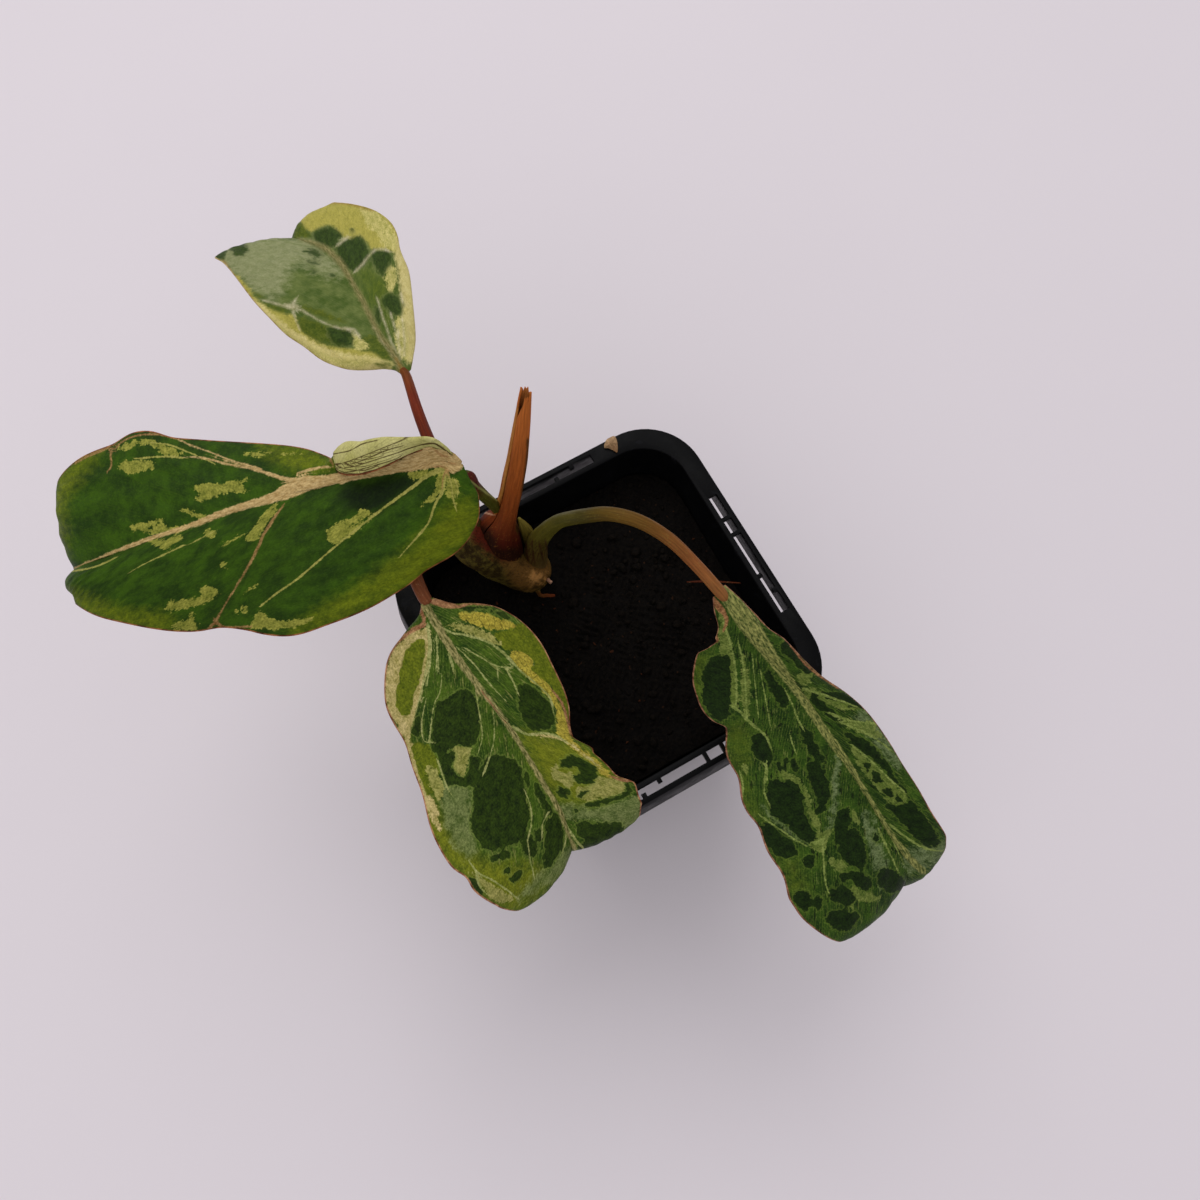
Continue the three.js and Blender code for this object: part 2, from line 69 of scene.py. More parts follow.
def alongCurve(knots, shares):
    # points of a Catmull-Rom curve through evenly timed knots
    knots = np.asarray(knots, float)
    padded = np.concatenate([2 * knots[:1] - knots[1:2], knots, 2 * knots[-1:] - knots[-2:-1]])
    place = np.asarray(shares, float) * (len(knots) - 1)
    i = np.minimum(place.astype(int), len(knots) - 2)
    t = (place - i).reshape((-1,) + (1,) * (knots.ndim - 1))
    before, start, end, after = (padded[i + k] for k in range(4))
    leave = (end - before) / 2
    arrive = (after - start) / 2
    bend = 2 * start - 2 * end + leave + arrive
    swing = 3 * end - 3 * start - 2 * leave - arrive
    return bend * t ** 3 + swing * t ** 2 + leave * t + start


def lengthAlong(points):
    # how far each point of a path lies from its start
    return np.concatenate([[0], np.cumsum(np.linalg.norm(np.diff(points, axis=0), axis=1))])


def placesAlong(points, shares):
    # places at shares of a path's length
    length = lengthAlong(points[:, :3])
    return np.stack([np.interp(shares * length[-1], length, column) for column in points.T], -1)


def evenlyAlong(knots, count):
    # the same curve at places that are evenly spaced in length
    return placesAlong(alongCurve(knots, np.linspace(0, 1, 400)), np.linspace(0, 1, count))


def roundedOutline(outline, steps=4):
    # a closed outline, softened between its points
    points = np.reshape(outline, (-1, 2)).astype(float)
    looped = np.concatenate([points[-2:], points, points[:3]])
    shares = np.arange(2 * steps, (len(points) + 2) * steps) / (steps * (len(looped) - 1))
    return alongCurve(looped, shares)


def patchDepth(spots, outline):
    # how far spots lie inside an outline, negative outside
    a = roundedOutline(outline)
    b = np.roll(a, -1, axis=0)
    edge = b - a
    reach = spots[:, None] - a
    share = np.clip((reach * edge).sum(-1) / np.maximum((edge ** 2).sum(-1), 1e-9), 0, 1)
    gap = np.linalg.norm(reach - share[..., None] * edge, axis=-1).min(1)
    x, y = spots[:, :1], spots[:, 1:]
    rise = np.where(np.abs(edge[:, 1]) < 1e-9, 1e-9, edge[:, 1])
    crossing = ((a[:, 1] > y) != (b[:, 1] > y)) & (x < edge[:, 0] * (y - a[:, 1]) / rise + a[:, 0])
    return np.where(crossing.sum(1) % 2 == 1, gap, -gap)


def strokeDepth(spots, line):
    # for a line of points (x, y, half its width): how far spots lie inside it, how far to its side,
    # and half its width there
    knots = np.reshape(line, (-1, 3))
    line = alongCurve(knots, np.linspace(0, 1, 4 * len(knots)))
    a = line[:-1]
    edge = line[1:] - a
    reach = spots[:, None] - a[:, :2]
    length = np.maximum((edge[:, :2] ** 2).sum(-1), 1e-9)
    share = np.clip((reach * edge[:, :2]).sum(-1) / length, 0, 1)
    gap = np.linalg.norm(reach - share[..., None] * edge[:, :2], axis=-1)
    half = a[:, 2] + share * edge[:, 2]
    turn = edge[:, 0] * reach[..., 1] - edge[:, 1] * reach[..., 0]
    found = np.stack([half - gap, np.where(turn < 0, -gap, gap), half], -1)
    return found[np.arange(len(spots)), (half - gap).argmax(1)]


def smooth(value, low, high):
    t = np.clip((value - low) / (high - low), 0, 1)
    return t * t * (3 - 2 * t)


# Meshes

def makeMesh(name, points, faces, slots=None, soft=True):
    mesh = bpy.data.meshes.new(name)
    mesh.from_pydata((np.asarray(points) * mm).tolist(), [], [list(map(int, f)) for f in faces])
    mesh.validate()
    if slots is not None:
        mesh.polygons.foreach_set("material_index", slots)
    mesh.polygons.foreach_set("use_smooth", [soft] * len(mesh.polygons))
    mesh.update()
    piece = bpy.data.objects.new(name, mesh)
    bpy.context.collection.objects.link(piece)
    return piece


def addValues(piece, name, values):
    values = np.asarray(values, np.float32)
    kind = "FLOAT_VECTOR" if values.ndim == 2 else "FLOAT"
    attribute = piece.data.attributes.new(name, kind, "POINT")
    attribute.data.foreach_set("vector" if values.ndim == 2 else "value", values.ravel())


def keep(piece, node, slot, *materials):
    for material in materials:
        piece.data.materials.append(material)
    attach(piece, "root")
    if node:
        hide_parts(node)
    return piece


def loftFaces(rings, count):
    faces = []
    for r in range(rings - 1):
        for i in range(count):
            a = r * count + i
            b = r * count + (i + 1) % count
            faces.append((a, b, b + count, a + count))
    return faces


def capFaces(rings, count):
    # a fan at each end of a loft, round two points that follow its rings
    faces = []
    for i in range(count):
        j, last = (i + 1) % count, (rings - 1) * count
        faces += [(rings * count, j, i), (rings * count + 1, last + i, last + j)]
    return faces


def sheetFaces(rows, columns):
    # faces between the rows of a sheet, and its rim in order
    grid = np.arange(rows * columns).reshape(rows, columns)
    quads = np.stack([grid[:-1, :-1], grid[:-1, 1:], grid[1:, 1:], grid[1:, :-1]], -1).reshape(-1, 4)
    return quads, np.concatenate([grid[0, :-1], grid[:-1, -1], grid[-1, :0:-1], grid[:0:-1, 0]])


def makeSheet(name, points, quads, edges):
    # a closed sheet whose two sides have the first and second material and its edges the first
    faces = np.concatenate([quads, (quads.max() + 1 + quads)[:, ::-1], *edges])
    slots = np.zeros(len(faces), np.int32)
    slots[len(quads):2 * len(quads)] = 1
    return makeMesh(name, points, faces, slots)


# Nodes: each goes into the material or group that was started last

started = {"tree": None}


def addNode(kind, inputs=None, **settings):
    # a node whose inputs are linked to sockets or set to values
    tree = started["tree"]
    node = tree.nodes.new("ShaderNode" + kind)
    for name, value in settings.items():
        setattr(node, name, value)
    for name, value in (inputs or {}).items():
        if isinstance(value, bpy.types.NodeSocket):
            tree.links.new(value, node.inputs[name])
        else:
            node.inputs[name].default_value = value
    return node


def math2(operation, a, b=0.0, clamp=False):
    return addNode("Math", {0: a, 1: b}, operation=operation, use_clamp=clamp).outputs[0]


def times(a, b):
    return math2("MULTIPLY", a, b)


def plus(a, b, clamp=False):
    return math2("ADD", a, b, clamp)


def minus(a, b):
    return math2("SUBTRACT", a, b)


def blend(share, under, over, kind="MIX"):
    mix = addNode("Mix", {0: share, 6: under, 7: over}, data_type="RGBA", blend_type=kind)
    return mix.outputs[2]


def spread(value, low, high, start=0.0, end=1.0, kind="LINEAR"):
    inputs = {"Value": value, "From Min": low, "From Max": high, "To Min": start, "To Max": end}
    return addNode("MapRange", inputs, interpolation_type=kind).outputs[0]


def readValue(name, output="Fac"):
    return addNode("Attribute", attribute_name=name).outputs[output]


def noiseAt(place, scale, detail=3.0, rough=0.55, distortion=0.0):
    inputs = {"Vector": place, "Scale": scale, "Detail": detail, "Roughness": rough, "Distortion": distortion}
    return addNode("TexNoise", inputs).outputs["Fac"]


def scaled(place, factor):
    return addNode("VectorMath", {0: place, 1: factor}, operation="MULTIPLY").outputs[0]


def paint(code):
    # a hex colour as a linear one
    parts = [int(code[i:i + 2], 16) / 255 for i in (1, 3, 5)]
    linear = [c / 12.92 if c <= 0.04045 else ((c + 0.055) / 1.055) ** 2.4 for c in parts]
    return (*linear, 1.0)


def startGroup(name, values, vectors, outputs):
    # values and vectors are the labels of its inputs
    group = bpy.data.node_groups.new(name, "ShaderNodeTree")
    for labels, way, kind in ((values, "INPUT", "Float"), (vectors, "INPUT", "Vector"),
                              (outputs, "OUTPUT", "Float")):
        for label in labels:
            group.interface.new_socket(label, in_out=way, socket_type="NodeSocket" + kind)
    started["tree"] = group
    source = group.nodes.new("NodeGroupInput")
    sink = group.nodes.new("NodeGroupOutput")
    return group, source.outputs, sink.inputs


def useGroup(group, inputs):
    return addNode("Group", inputs, node_tree=group).outputs


def startMaterial(name, **settings):
    material = bpy.data.materials.new(name)
    material.use_nodes = True
    started["tree"] = material.node_tree
    shader = next(n for n in material.node_tree.nodes if n.type == "BSDF_PRINCIPLED")
    for label, value in settings.items():
        shader.inputs[label.replace("_", " ")].default_value = value
    return material, shader


def shadeBy(colour, grey):
    # a colour made darker or lighter by a value round 1
    shade = addNode("CombineColor", {0: grey, 1: grey, 2: grey}).outputs[0]
    return blend(1.0, colour, shade, "MULTIPLY")


def finishSkin(shader, colour, height, strength, distance, roughness=None):
    # colour, fine relief and, where it changes over the surface, roughness
    bump = addNode("Bump", {"Height": height, "Strength": strength, "Distance": distance}).outputs[0]
    for label, value in (("Base Color", colour), ("Normal", bump), ("Roughness", roughness)):
        if value is not None:
            started["tree"].links.new(value, shader.inputs[label])


# Ragged edge of a painted patch or line: depth inside it, shaped by lobes, streaks and cells, then
# turned into a mask and the narrow rim round it
def raggedEdgeGroup():
    values = ("Depth", "Lobes", "Streaks", "Cells", "Swell", "Fray", "Bite", "Soft")
    group, given, out = startGroup("raggedEdge", values, ("Line",), ("Mask", "Rim"))
    line = addNode("SeparateXYZ", {0: given["Line"]}).outputs
    across = minus(line[2], math2("ABSOLUTE", line[1]))
    inLine = math2("MINIMUM", across, plus(line[0], 2.0))
    depth = math2("MAXIMUM", given["Depth"], inLine)
    for grain, amount in zip(values[1:4], values[4:7]):
        depth = plus(depth, times(given[grain], given[amount]))
    low = times(given["Soft"], -1.0)
    mask = spread(depth, low, given["Soft"], kind="SMOOTHSTEP")
    near = spread(depth, -3.0, -0.6, kind="SMOOTHSTEP")
    group.links.new(mask, out["Mask"])
    group.links.new(times(near, minus(1.0, mask)), out["Rim"])
    return group


# Living tissue of a leaf: cells, lobes and streaks from -1 to 1, all else from 0 to 1
def leafTissueGroup():
    shown = ("Cells", "Lobes", "Streaks", "Clouds", "Fine Veins", "Net", "Islands", "Dots", "Grooves",
             "Side Veins")
    group, given, out = startGroup("leafTissue", (), ("Place",), shown)

    def veinLines(bend, bendScale, spacing, wide, thin):
        # lines of one phase, bent a little
        wobble = times(noiseAt(flat, bendScale, 3.0), bend)
        phase = plus(parts[0], wobble)
        turn = math2("FRACT", math2("DIVIDE", phase, spacing))
        gap = math2("ABSOLUTE", minus(turn, 0.5))
        return spread(gap, wide, thin, kind="SMOOTHSTEP")

    # a place is the phase of its side vein, its way from the midrib and its way along the midrib
    parts = addNode("SeparateXYZ", {0: given["Place"]}).outputs
    flat = addNode("CombineXYZ", {0: parts[1], 1: parts[2]}).outputs[0]
    drawn, blots = (scaled(given["Place"], (1.0, side, 0.0)) for side in (0.3, 0.6))
    grains = ((flat, 2.6, 3.0, 0.75), (flat, 0.75, 2.0, 0.5), (drawn, 1.8, 3.0, 0.65))
    cells, lobes, streaks = (spread(noiseAt(*grain), 0.3, 0.7, -1.0, 1.0) for grain in grains)
    clouds = spread(noiseAt(flat, 0.22, 3.0, 0.5), 0.35, 0.65)
    broken = spread(noiseAt(drawn, 0.6, 2.0), 0.42, 0.6)
    fine = times(veinLines(0.9, 0.8, 0.85, 0.16, 0.02), broken)
    shifts = {0: flat, 1: noiseAt(flat, 1.2, 2.0)}
    bent = addNode("VectorMath", shifts, operation="ADD").outputs[0]
    netting = addNode("TexVoronoi", {"Vector": bent, "Scale": 0.95}, feature="DISTANCE_TO_EDGE",
                      voronoi_dimensions="2D")
    net = spread(netting.outputs["Distance"], 0.07, 0.0, kind="SMOOTHSTEP")
    islands = spread(noiseAt(blots, 0.95, 2.5, 0.6), 0.6, 0.625, kind="SMOOTHSTEP")
    moved = addNode("VectorMath", {0: blots, 1: (31.0, 17.0, 5.0)}, operation="ADD").outputs[0]
    dots = spread(noiseAt(moved, 1.3, 2.5, 0.6), 0.62, 0.65, kind="SMOOTHSTEP")

    alongRib = scaled(flat, (1.5, 0.4, 0.0))
    grooves = spread(noiseAt(alongRib, 1.9, 3.0, 0.6), 0.36, 0.64)

    sides = veinLines(2.4, 0.3, 3.1, 0.035, 0.0)
    for label, value in zip(shown, (cells, lobes, streaks, clouds, fine, net, islands, dots, grooves, sides)):
        group.links.new(value, out[label])
    return group


# Fibres that run along a stalk, a sheath or a flake, with small freckles
def fibresGroup():
    group, given, out = startGroup("fibres", ("Fineness",), ("Place",), ("Fibres", "Freckles", "Clouds"))
    drawn, short = (scaled(given["Place"], (1.0, along, 1.0)) for along in (0.06, 0.5))
    group.links.new(noiseAt(drawn, given["Fineness"], 4.0, 0.65), out["Fibres"])
    group.links.new(noiseAt(short, 3.2, 2.0, 0.6), out["Freckles"])
    group.links.new(noiseAt(given["Place"], 0.25, 2.0, 0.5), out["Clouds"])
    return group


raggedEdge = raggedEdgeGroup()
leafTissue = leafTissueGroup()
fibres = fibresGroup()
print("shared node groups made")


def markMask(layer, grain, edges):
    # one painted layer; grain is lobes, streaks and cells, edges are swell, fray, bite and soft
    inputs = {"Depth": readValue(layer), "Line": readValue(layer + "Line", "Vector")}
    inputs.update(zip(("Lobes", "Streaks", "Cells"), grain))
    inputs.update(zip(("Swell", "Fray", "Bite", "Soft"), edges))
    return useGroup(raggedEdge, inputs)


# Leaves
# Stations lie across a blade: left margin, midrib, right margin, from the stalk to the tip.
# Marks hold patches (closed outlines, x and y in turn) and lines (x, y and half width in turn),
# both in picture pixels.

leafBuild = {
    "rows": 220,
    "columns": 121,
    "thickness": 0.5,
    "edgeShare": 0.55,
    "edgeWidth": 0.8,
    "reliefBelow": 0.8,
    "stalkEndGap": 0.6,
    "tipGap": 0.4,
    "waveStretch": 1.15,
    "waveShift": 1.7,
    "fullCamberWidth": 20,
    "creaseLift": 1.3,
    "ribHalfWidth": 0.14,
    "ribFade": 0.8,
    "ribShareBelow": 0.75,
    "ribRise": 0.2,
    "veinSpacing": 3.1,
    "veinSlant": 1.15,
    "veinBend": 1.1,
    "quilting": 0.035,
    "blisters": 0.12,
    "marginRoll": 0.14,
    "markReach": 24,
    "letOut": 9,
    "drawIn": 0.8,
    "evenRows": 3,
}

# Layers of colour, from the lowest up: how far lobes swell, streaks fray and cells bite their edges,
# and how soft they are, all in picture pixels
layerEdges = {
    # painted light: soft lighter patches where a blade catches more light
    "paintedLight": (4.0, 0.5, 0.6, 14.0),
    # painted shade on the left leaf, and a pale painted sheen on the back leaf
    "shade": (4.0, 1.0, 1.5, 8.0),
    # silvery marbling, partly a painted reflection of the sky where a blade tilts away
    "silverAndSheen": (4.0, 1.2, 2.5, 4.0),
    "gold": (1.6, 0.6, 1.1, 0.7),
    "cream": (1.5, 0.6, 1.2, 1.0),
    "moss": (1.5, 0.5, 0.9, 0.6),
    "lime": (2.0, 0.8, 1.6, 0.4),
    "gloom": (2.4, 0.3, 1.1, 0.5),
    "vein": (0.3, 0.1, 0.35, 0.45),
    "rib": (0.6, 0.1, 0.6, 0.9),
    "rust": (0.3, 0.2, 0.5, 0.8),
}


def bladeSurface(leaf, rows, columns):
    # middle surface of a blade, as rows from the stalk to the tip and columns from left to right
    build = leafBuild
    stations = np.array(leaf["stations"], float)
    creases = leaf.get("crease", {})
    lines = []
    for i, (left, rib, right) in enumerate(stations):
        forward = stations[min(i + 1, len(stations) - 1), 1] - stations[max(i - 1, 0), 1]
        across = left - right
        upNormal = np.cross(forward, across)
        upNormal /= np.linalg.norm(upNormal)
        share = min(1, np.linalg.norm(across) / build["fullCamberWidth"])
        bow = [upNormal * camber * share for camber in leaf["camber"]]
        leftHandles = [rib + (left - rib) * part + bow[0] for part in (1 / 3, 2 / 3)]
        rightHandles = [rib + (right - rib) * part + bow[1] for part in (1 / 3, 2 / 3)]
        if i in creases:
            middle = (8 * np.array(creases[i]) - rib - right) / 6
            lift = np.array([0, 0, build["creaseLift"]])
            rightHandles = [middle - lift, middle + lift]
        lines.append([left, leftHandles[1], leftHandles[0], rib, *rightHandles, right])
    u = np.linspace(0, 1, rows)
    v = np.linspace(-1, 1, columns)
    controls = alongCurve(lines, u)
    t = np.abs(v)[None, :, None]
    order = np.where(v[:, None] < 0, [3, 2, 1, 0], [3, 4, 5, 6])
    a, b, c, d = (controls[:, order[:, k]] for k in range(4))
    surface = a * (1 - t) ** 3 + 3 * b * t * (1 - t) ** 2 + 3 * c * t ** 2 * (1 - t) + d * t ** 3
    taper = np.sin(math.pi * np.minimum(1, u * build["waveStretch"])) ** 2
    shift = np.where(v < 0, 0, build["waveShift"])
    swell = np.sin(2 * math.pi * leaf["waves"] * u[:, None] + shift)
    surface[..., 2] += leaf["wave"] * v ** 2 * taper[:, None] * swell
    return surface, u, v


def surfaceNormals(surface):
    forward = np.gradient(surface, axis=0)
    across = -np.gradient(surface, axis=1)
    normals = np.cross(forward, across)
    return normals / np.maximum(np.linalg.norm(normals, axis=-1, keepdims=True), 1e-12)


def arcAcross(surface):
    # signed distance from the midrib and distance from the nearer margin, along each row
    steps = np.linalg.norm(np.diff(surface, axis=1), axis=-1)
    run = np.concatenate([np.zeros((len(surface), 1)), np.cumsum(steps, axis=1)], axis=1)
    middle = surface.shape[1] // 2
    return run - run[:, middle:middle + 1], np.minimum(run, run[:, -1:] - run)


def markDepths(places, marks):
    # for each layer: depth inside its patches, and depth, side and half width of its nearest line
    spots, cap, depths = seenAt(places), leafBuild["markReach"], {}
    for layer, shapes in marks.items():
        inside = np.full(len(spots), -float(cap))
        for outline in shapes.get("patches", []):
            inside = np.maximum(inside, patchDepth(spots, outline))
        nearest = np.tile([-float(cap), float(cap), 0.0], (len(spots), 1))
        for line in shapes.get("lines", []):
            found = strokeDepth(spots, line)
            closer = found[:, 0] > nearest[:, 0]
            nearest[closer] = found[closer]
        depths[layer] = np.clip(inside, -cap, cap)
        depths[layer + "Line"] = nearest
    return depths


def addMarks(piece, places, marks):
    for label, depth in markDepths(places, marks).items():
        addValues(piece, label, depth)


def meetOutline(surface, u, leaf):
    # margins are drawn in or let out along their rows until they are seen on the leaf's outline
    build = leafBuild
    rows, columns = surface.shape[:2]
    middle = columns // 2
    for way, (start, end) in zip((-1, 1), leaf["traced"]):
        order = middle + way * np.arange(middle + 1)
        side = surface[:, order]
        past = np.arange(1, build["letOut"] + 1)[None, :, None]
        longer = np.concatenate([side, side[:, -1:] + (side[:, -1:] - side[:, -2:-1]) * past], 1)
        depth = patchDepth(seenAt(longer.reshape(-1, 3)), leaf["outline"]).reshape(rows, -1)
        share = np.ones(rows)
        for i in range(rows):
            leaving = np.nonzero((depth[i, :-1] > 0) & (depth[i, 1:] <= 0))[0]
            leaving = leaving[leaving >= build["drawIn"] * middle]
            if len(leaving) and start < u[i] < end:
                k = leaving[-1]
                share[i] = (k + depth[i, k] / (depth[i, k] - depth[i, k + 1])) / middle
        reach = build["evenRows"]
        kernel = np.hanning(2 * reach + 3)[1:-1]
        padded = np.pad(share, reach, mode="edge")
        share = np.convolve(padded, kernel / kernel.sum(), mode="valid")
        at = np.linspace(0, 1, middle + 1)[None] * share[:, None] * middle
        low = np.minimum(at.astype(int), longer.shape[1] - 2)
        part = (at - low)[..., None]
        row = np.arange(rows)[:, None]
        surface[:, order] = longer[row, low] * (1 - part) + longer[row, low + 1] * part
    return surface


def makeLeaf(name, node, slot, leaf, materials):
    build = leafBuild
    surface, u, v = bladeSurface(leaf, build["rows"], build["columns"])
    surface = meetOutline(surface, u, leaf)
    normals = surfaceNormals(surface)
    side, edgeGap = arcAcross(surface)
    middle = len(v) // 2
    spine = lengthAlong(surface[:, middle])
    endGap = np.minimum(spine + build["stalkEndGap"], spine[-1] - spine + build["tipGap"])[:, None]
    edgeGap = np.minimum(edgeGap, endGap)
    phase = spine[:, None] - build["veinSlant"] * np.abs(side) ** build["veinBend"]

    depths = markDepths(surface.reshape(-1, 3), leaf["marks"])
    inRib = np.maximum(depths["rib"], depths["ribLine"][:, 0]).reshape(surface.shape[:2])

    # relief: raised midrib, sunken side veins, soft blisters between them
    inner = smooth(edgeGap, 0, 2.5)
    turn = np.cos(2 * math.pi * (phase / build["veinSpacing"] + 0.15 * np.sin(0.5 * side)))
    uneven = 0.5 + 0.5 * np.sin(0.31 * phase + 1.3) * np.sin(0.37 * side + 0.6)
    relief = build["quilting"] * inner * turn * uneven * smooth(np.abs(side), 0.5, 3)
    swelling = np.sin(0.83 * side + 0.4 * phase + 1) * np.sin(0.62 * phase - 0.2 * side)
    relief += build["blisters"] * inner * smooth(np.abs(side), 1, 5) * swelling
    relief += build["ribRise"] * smooth(inRib, -1.5, 2.5)
    ribShare = np.maximum(0, 1 - np.abs(v) / build["ribHalfWidth"])
    below = leaf["ribDepth"] * (1 - build["ribFade"] * u)[:, None] * ribShare * build["ribShareBelow"]
    thin, through = build["edgeShare"], build["reliefBelow"]
    half = build["thickness"] / 2 * (thin + (1 - thin) * smooth(edgeGap, 0, build["edgeWidth"]))
    top = surface + normals * (half + relief)[..., None]
    bottom = surface - normals * (half + through * (below - relief))[..., None]

    count = side.size
    quads, rim = sheetFaces(*side.shape)
    outward = np.zeros_like(surface)
    outward[:, 0] = surface[:, 0] - surface[:, 2]
    outward[:, -1] = surface[:, -1] - surface[:, -3]
    outward[0] += surface[0] - surface[2]
    outward[-1] += surface[-1] - surface[-3]
    outward /= np.maximum(np.linalg.norm(outward, axis=-1, keepdims=True), 1e-9)
    roll = (surface + build["marginRoll"] * outward).reshape(-1, 3)[rim]
    points = np.concatenate([top.reshape(-1, 3), bottom.reshape(-1, 3), roll])
    ring = 2 * count + np.arange(len(rim))
    after = np.roll(np.arange(len(rim)), -1)
    upper = np.stack([rim, ring, ring[after], rim[after]], -1)
    lower = np.stack([ring, count + rim, count + rim[after], ring[after]], -1)
    piece = makeSheet(name, points, quads, (upper, lower))

    def everywhere(values):
        flat = np.asarray(values).reshape(count, -1)
        stacked = np.concatenate([flat, flat, flat[rim]])
        return stacked[:, 0] if stacked.shape[1] == 1 else stacked

    place = np.stack([phase, side, np.broadcast_to(spine[:, None], side.shape)], -1)
    addValues(piece, "place", everywhere(place))
    addValues(piece, "edgeGap", everywhere(edgeGap))
    for label, depth in depths.items():
        addValues(piece, label, everywhere(depth))
    return keep(piece, node, slot, *materials)


def startBlade(name, roughness, gloss):
    material, shader = startMaterial(name, Roughness=roughness, Specular_IOR_Level=gloss)
    tissue = useGroup(leafTissue, {"Place": readValue("place", "Vector")})
    return material, shader, tissue, (tissue["Lobes"], tissue["Streaks"], tissue["Cells"])


def leafSkin(name, looks, layers):
    # upper face of a blade: ground colours, then each painted layer in its order
    material, shader, tissue, grain = startBlade(name, 0.5, looks["gloss"])
    mottled = spread(plus(tissue["Lobes"], tissue["Cells"]), -1.3, 1.3)
    grounds = plus(tissue["Clouds"], times(tissue["Lobes"], 0.3), True)
    colour = blend(grounds, paint(looks["ground"][0]), paint(looks["ground"][1]))
    granular = plus(tissue["Cells"], times(tissue["Streaks"], 0.25))
    pale = paint(looks["granuleTone"])
    covers = (spread(granular, 0.15, 0.9), tissue["Side Veins"], tissue["Fine Veins"])
    for cover, amount in zip(covers, ("granules", "sideVeins", "fineVeins")):
        colour = blend(times(cover, looks[amount]), colour, pale)
    if "islands" in looks:
        islands, dots = (times(tissue[part], looks[part.lower()]) for part in ("Islands", "Dots"))
        colour = blend(islands, colour, paint(looks["islandTone"]))
        colour = blend(dots, colour, paint(looks["lime"][1]))
    height = times(tissue["Cells"], 0.3)
    netted = looks["net"]
    # the lowest layers are painted light: soft lighter patches, painted shade (a painted sheen on the back
    # leaf), and silvery marbling that is partly a painted reflection
    for layer, (*edges, soft) in layerEdges.items():
        if layer not in layers:
            continue
        marked = markMask(layer, grain, (*edges, soft + looks.get("blur", 0.0)))
        dark, light, strength = looks[layer]
        if layer == "gloom":
            colour = blend(times(marked["Rim"], looks["rimGlow"]), colour, pale)
        share = tissue["Grooves"] if layer == "rib" else mottled
        tone = blend(share, paint(dark), paint(light))
        colour = blend(times(marked["Mask"], strength), colour, tone)
        if layer in ("lime", "gold", "cream"):
            height = minus(height, times(marked["Mask"], 0.3))
        if layer == "gold":
            netted = plus(netted, times(marked["Mask"], looks["goldNet"]))
    colour = blend(times(tissue["Net"], netted), colour, paint(looks["netTone"]))
    edge = plus(readValue("edgeGap"), times(tissue["Streaks"], -0.08))
    width = looks["marginWidth"]
    outer = spread(edge, width + 0.1, width - 0.05, kind="SMOOTHSTEP")
    patchy = spread(tissue["Lobes"], -0.6, 0.6)
    marginTone = blend(patchy, paint(looks["margin"]), paint(looks["marginPale"]))
    colour = blend(outer, colour, marginTone)
    worn = spread(tissue["Cells"], -1.0, 1.0, 1.0 - looks["wear"], 1.0 + looks["wear"])
    height = minus(height, times(tissue["Side Veins"], 0.8))
    height = minus(height, times(tissue["Net"], 0.5))
    roughness = spread(tissue["Clouds"], 0.0, 1.0, 0.42, 0.56)
    finishSkin(shader, shadeBy(colour, worn), height, 0.35, 0.00015, roughness)
    return material


def leafBack(name, looks, layers):
    # dull paler underside with darker veins along it
    material, shader, tissue, grain = startBlade(name, 0.6, 0.1)
    colour = blend(tissue["Clouds"], paint(looks["underside"][0]), paint(looks["underside"][1]))
    for cover, amount in ((tissue["Net"], 0.3), (tissue["Side Veins"], 0.3 if "flap" in layers else 0.7),
                          (tissue["Fine Veins"], 0.2)):
        colour = blend(times(cover, amount), colour, paint(looks["underVein"]))
    if "flap" in layers:
        lines = markMask("flap", grain, (0.1, 0.2, 0.2, 0.5))["Mask"]
        colour = blend(lines, colour, paint(looks["underVein"]))
    outer = spread(readValue("edgeGap"), 0.3, 0.1, kind="SMOOTHSTEP")
    colour = blend(outer, colour, paint(looks["margin"]))
    mottle = spread(tissue["Cells"], -1.0, 1.0, 0.84, 1.14)
    height = plus(tissue["Side Veins"], times(tissue["Cells"], 0.4))
    finishSkin(shader, shadeBy(colour, mottle), height, 0.4, 0.0002)
    return material


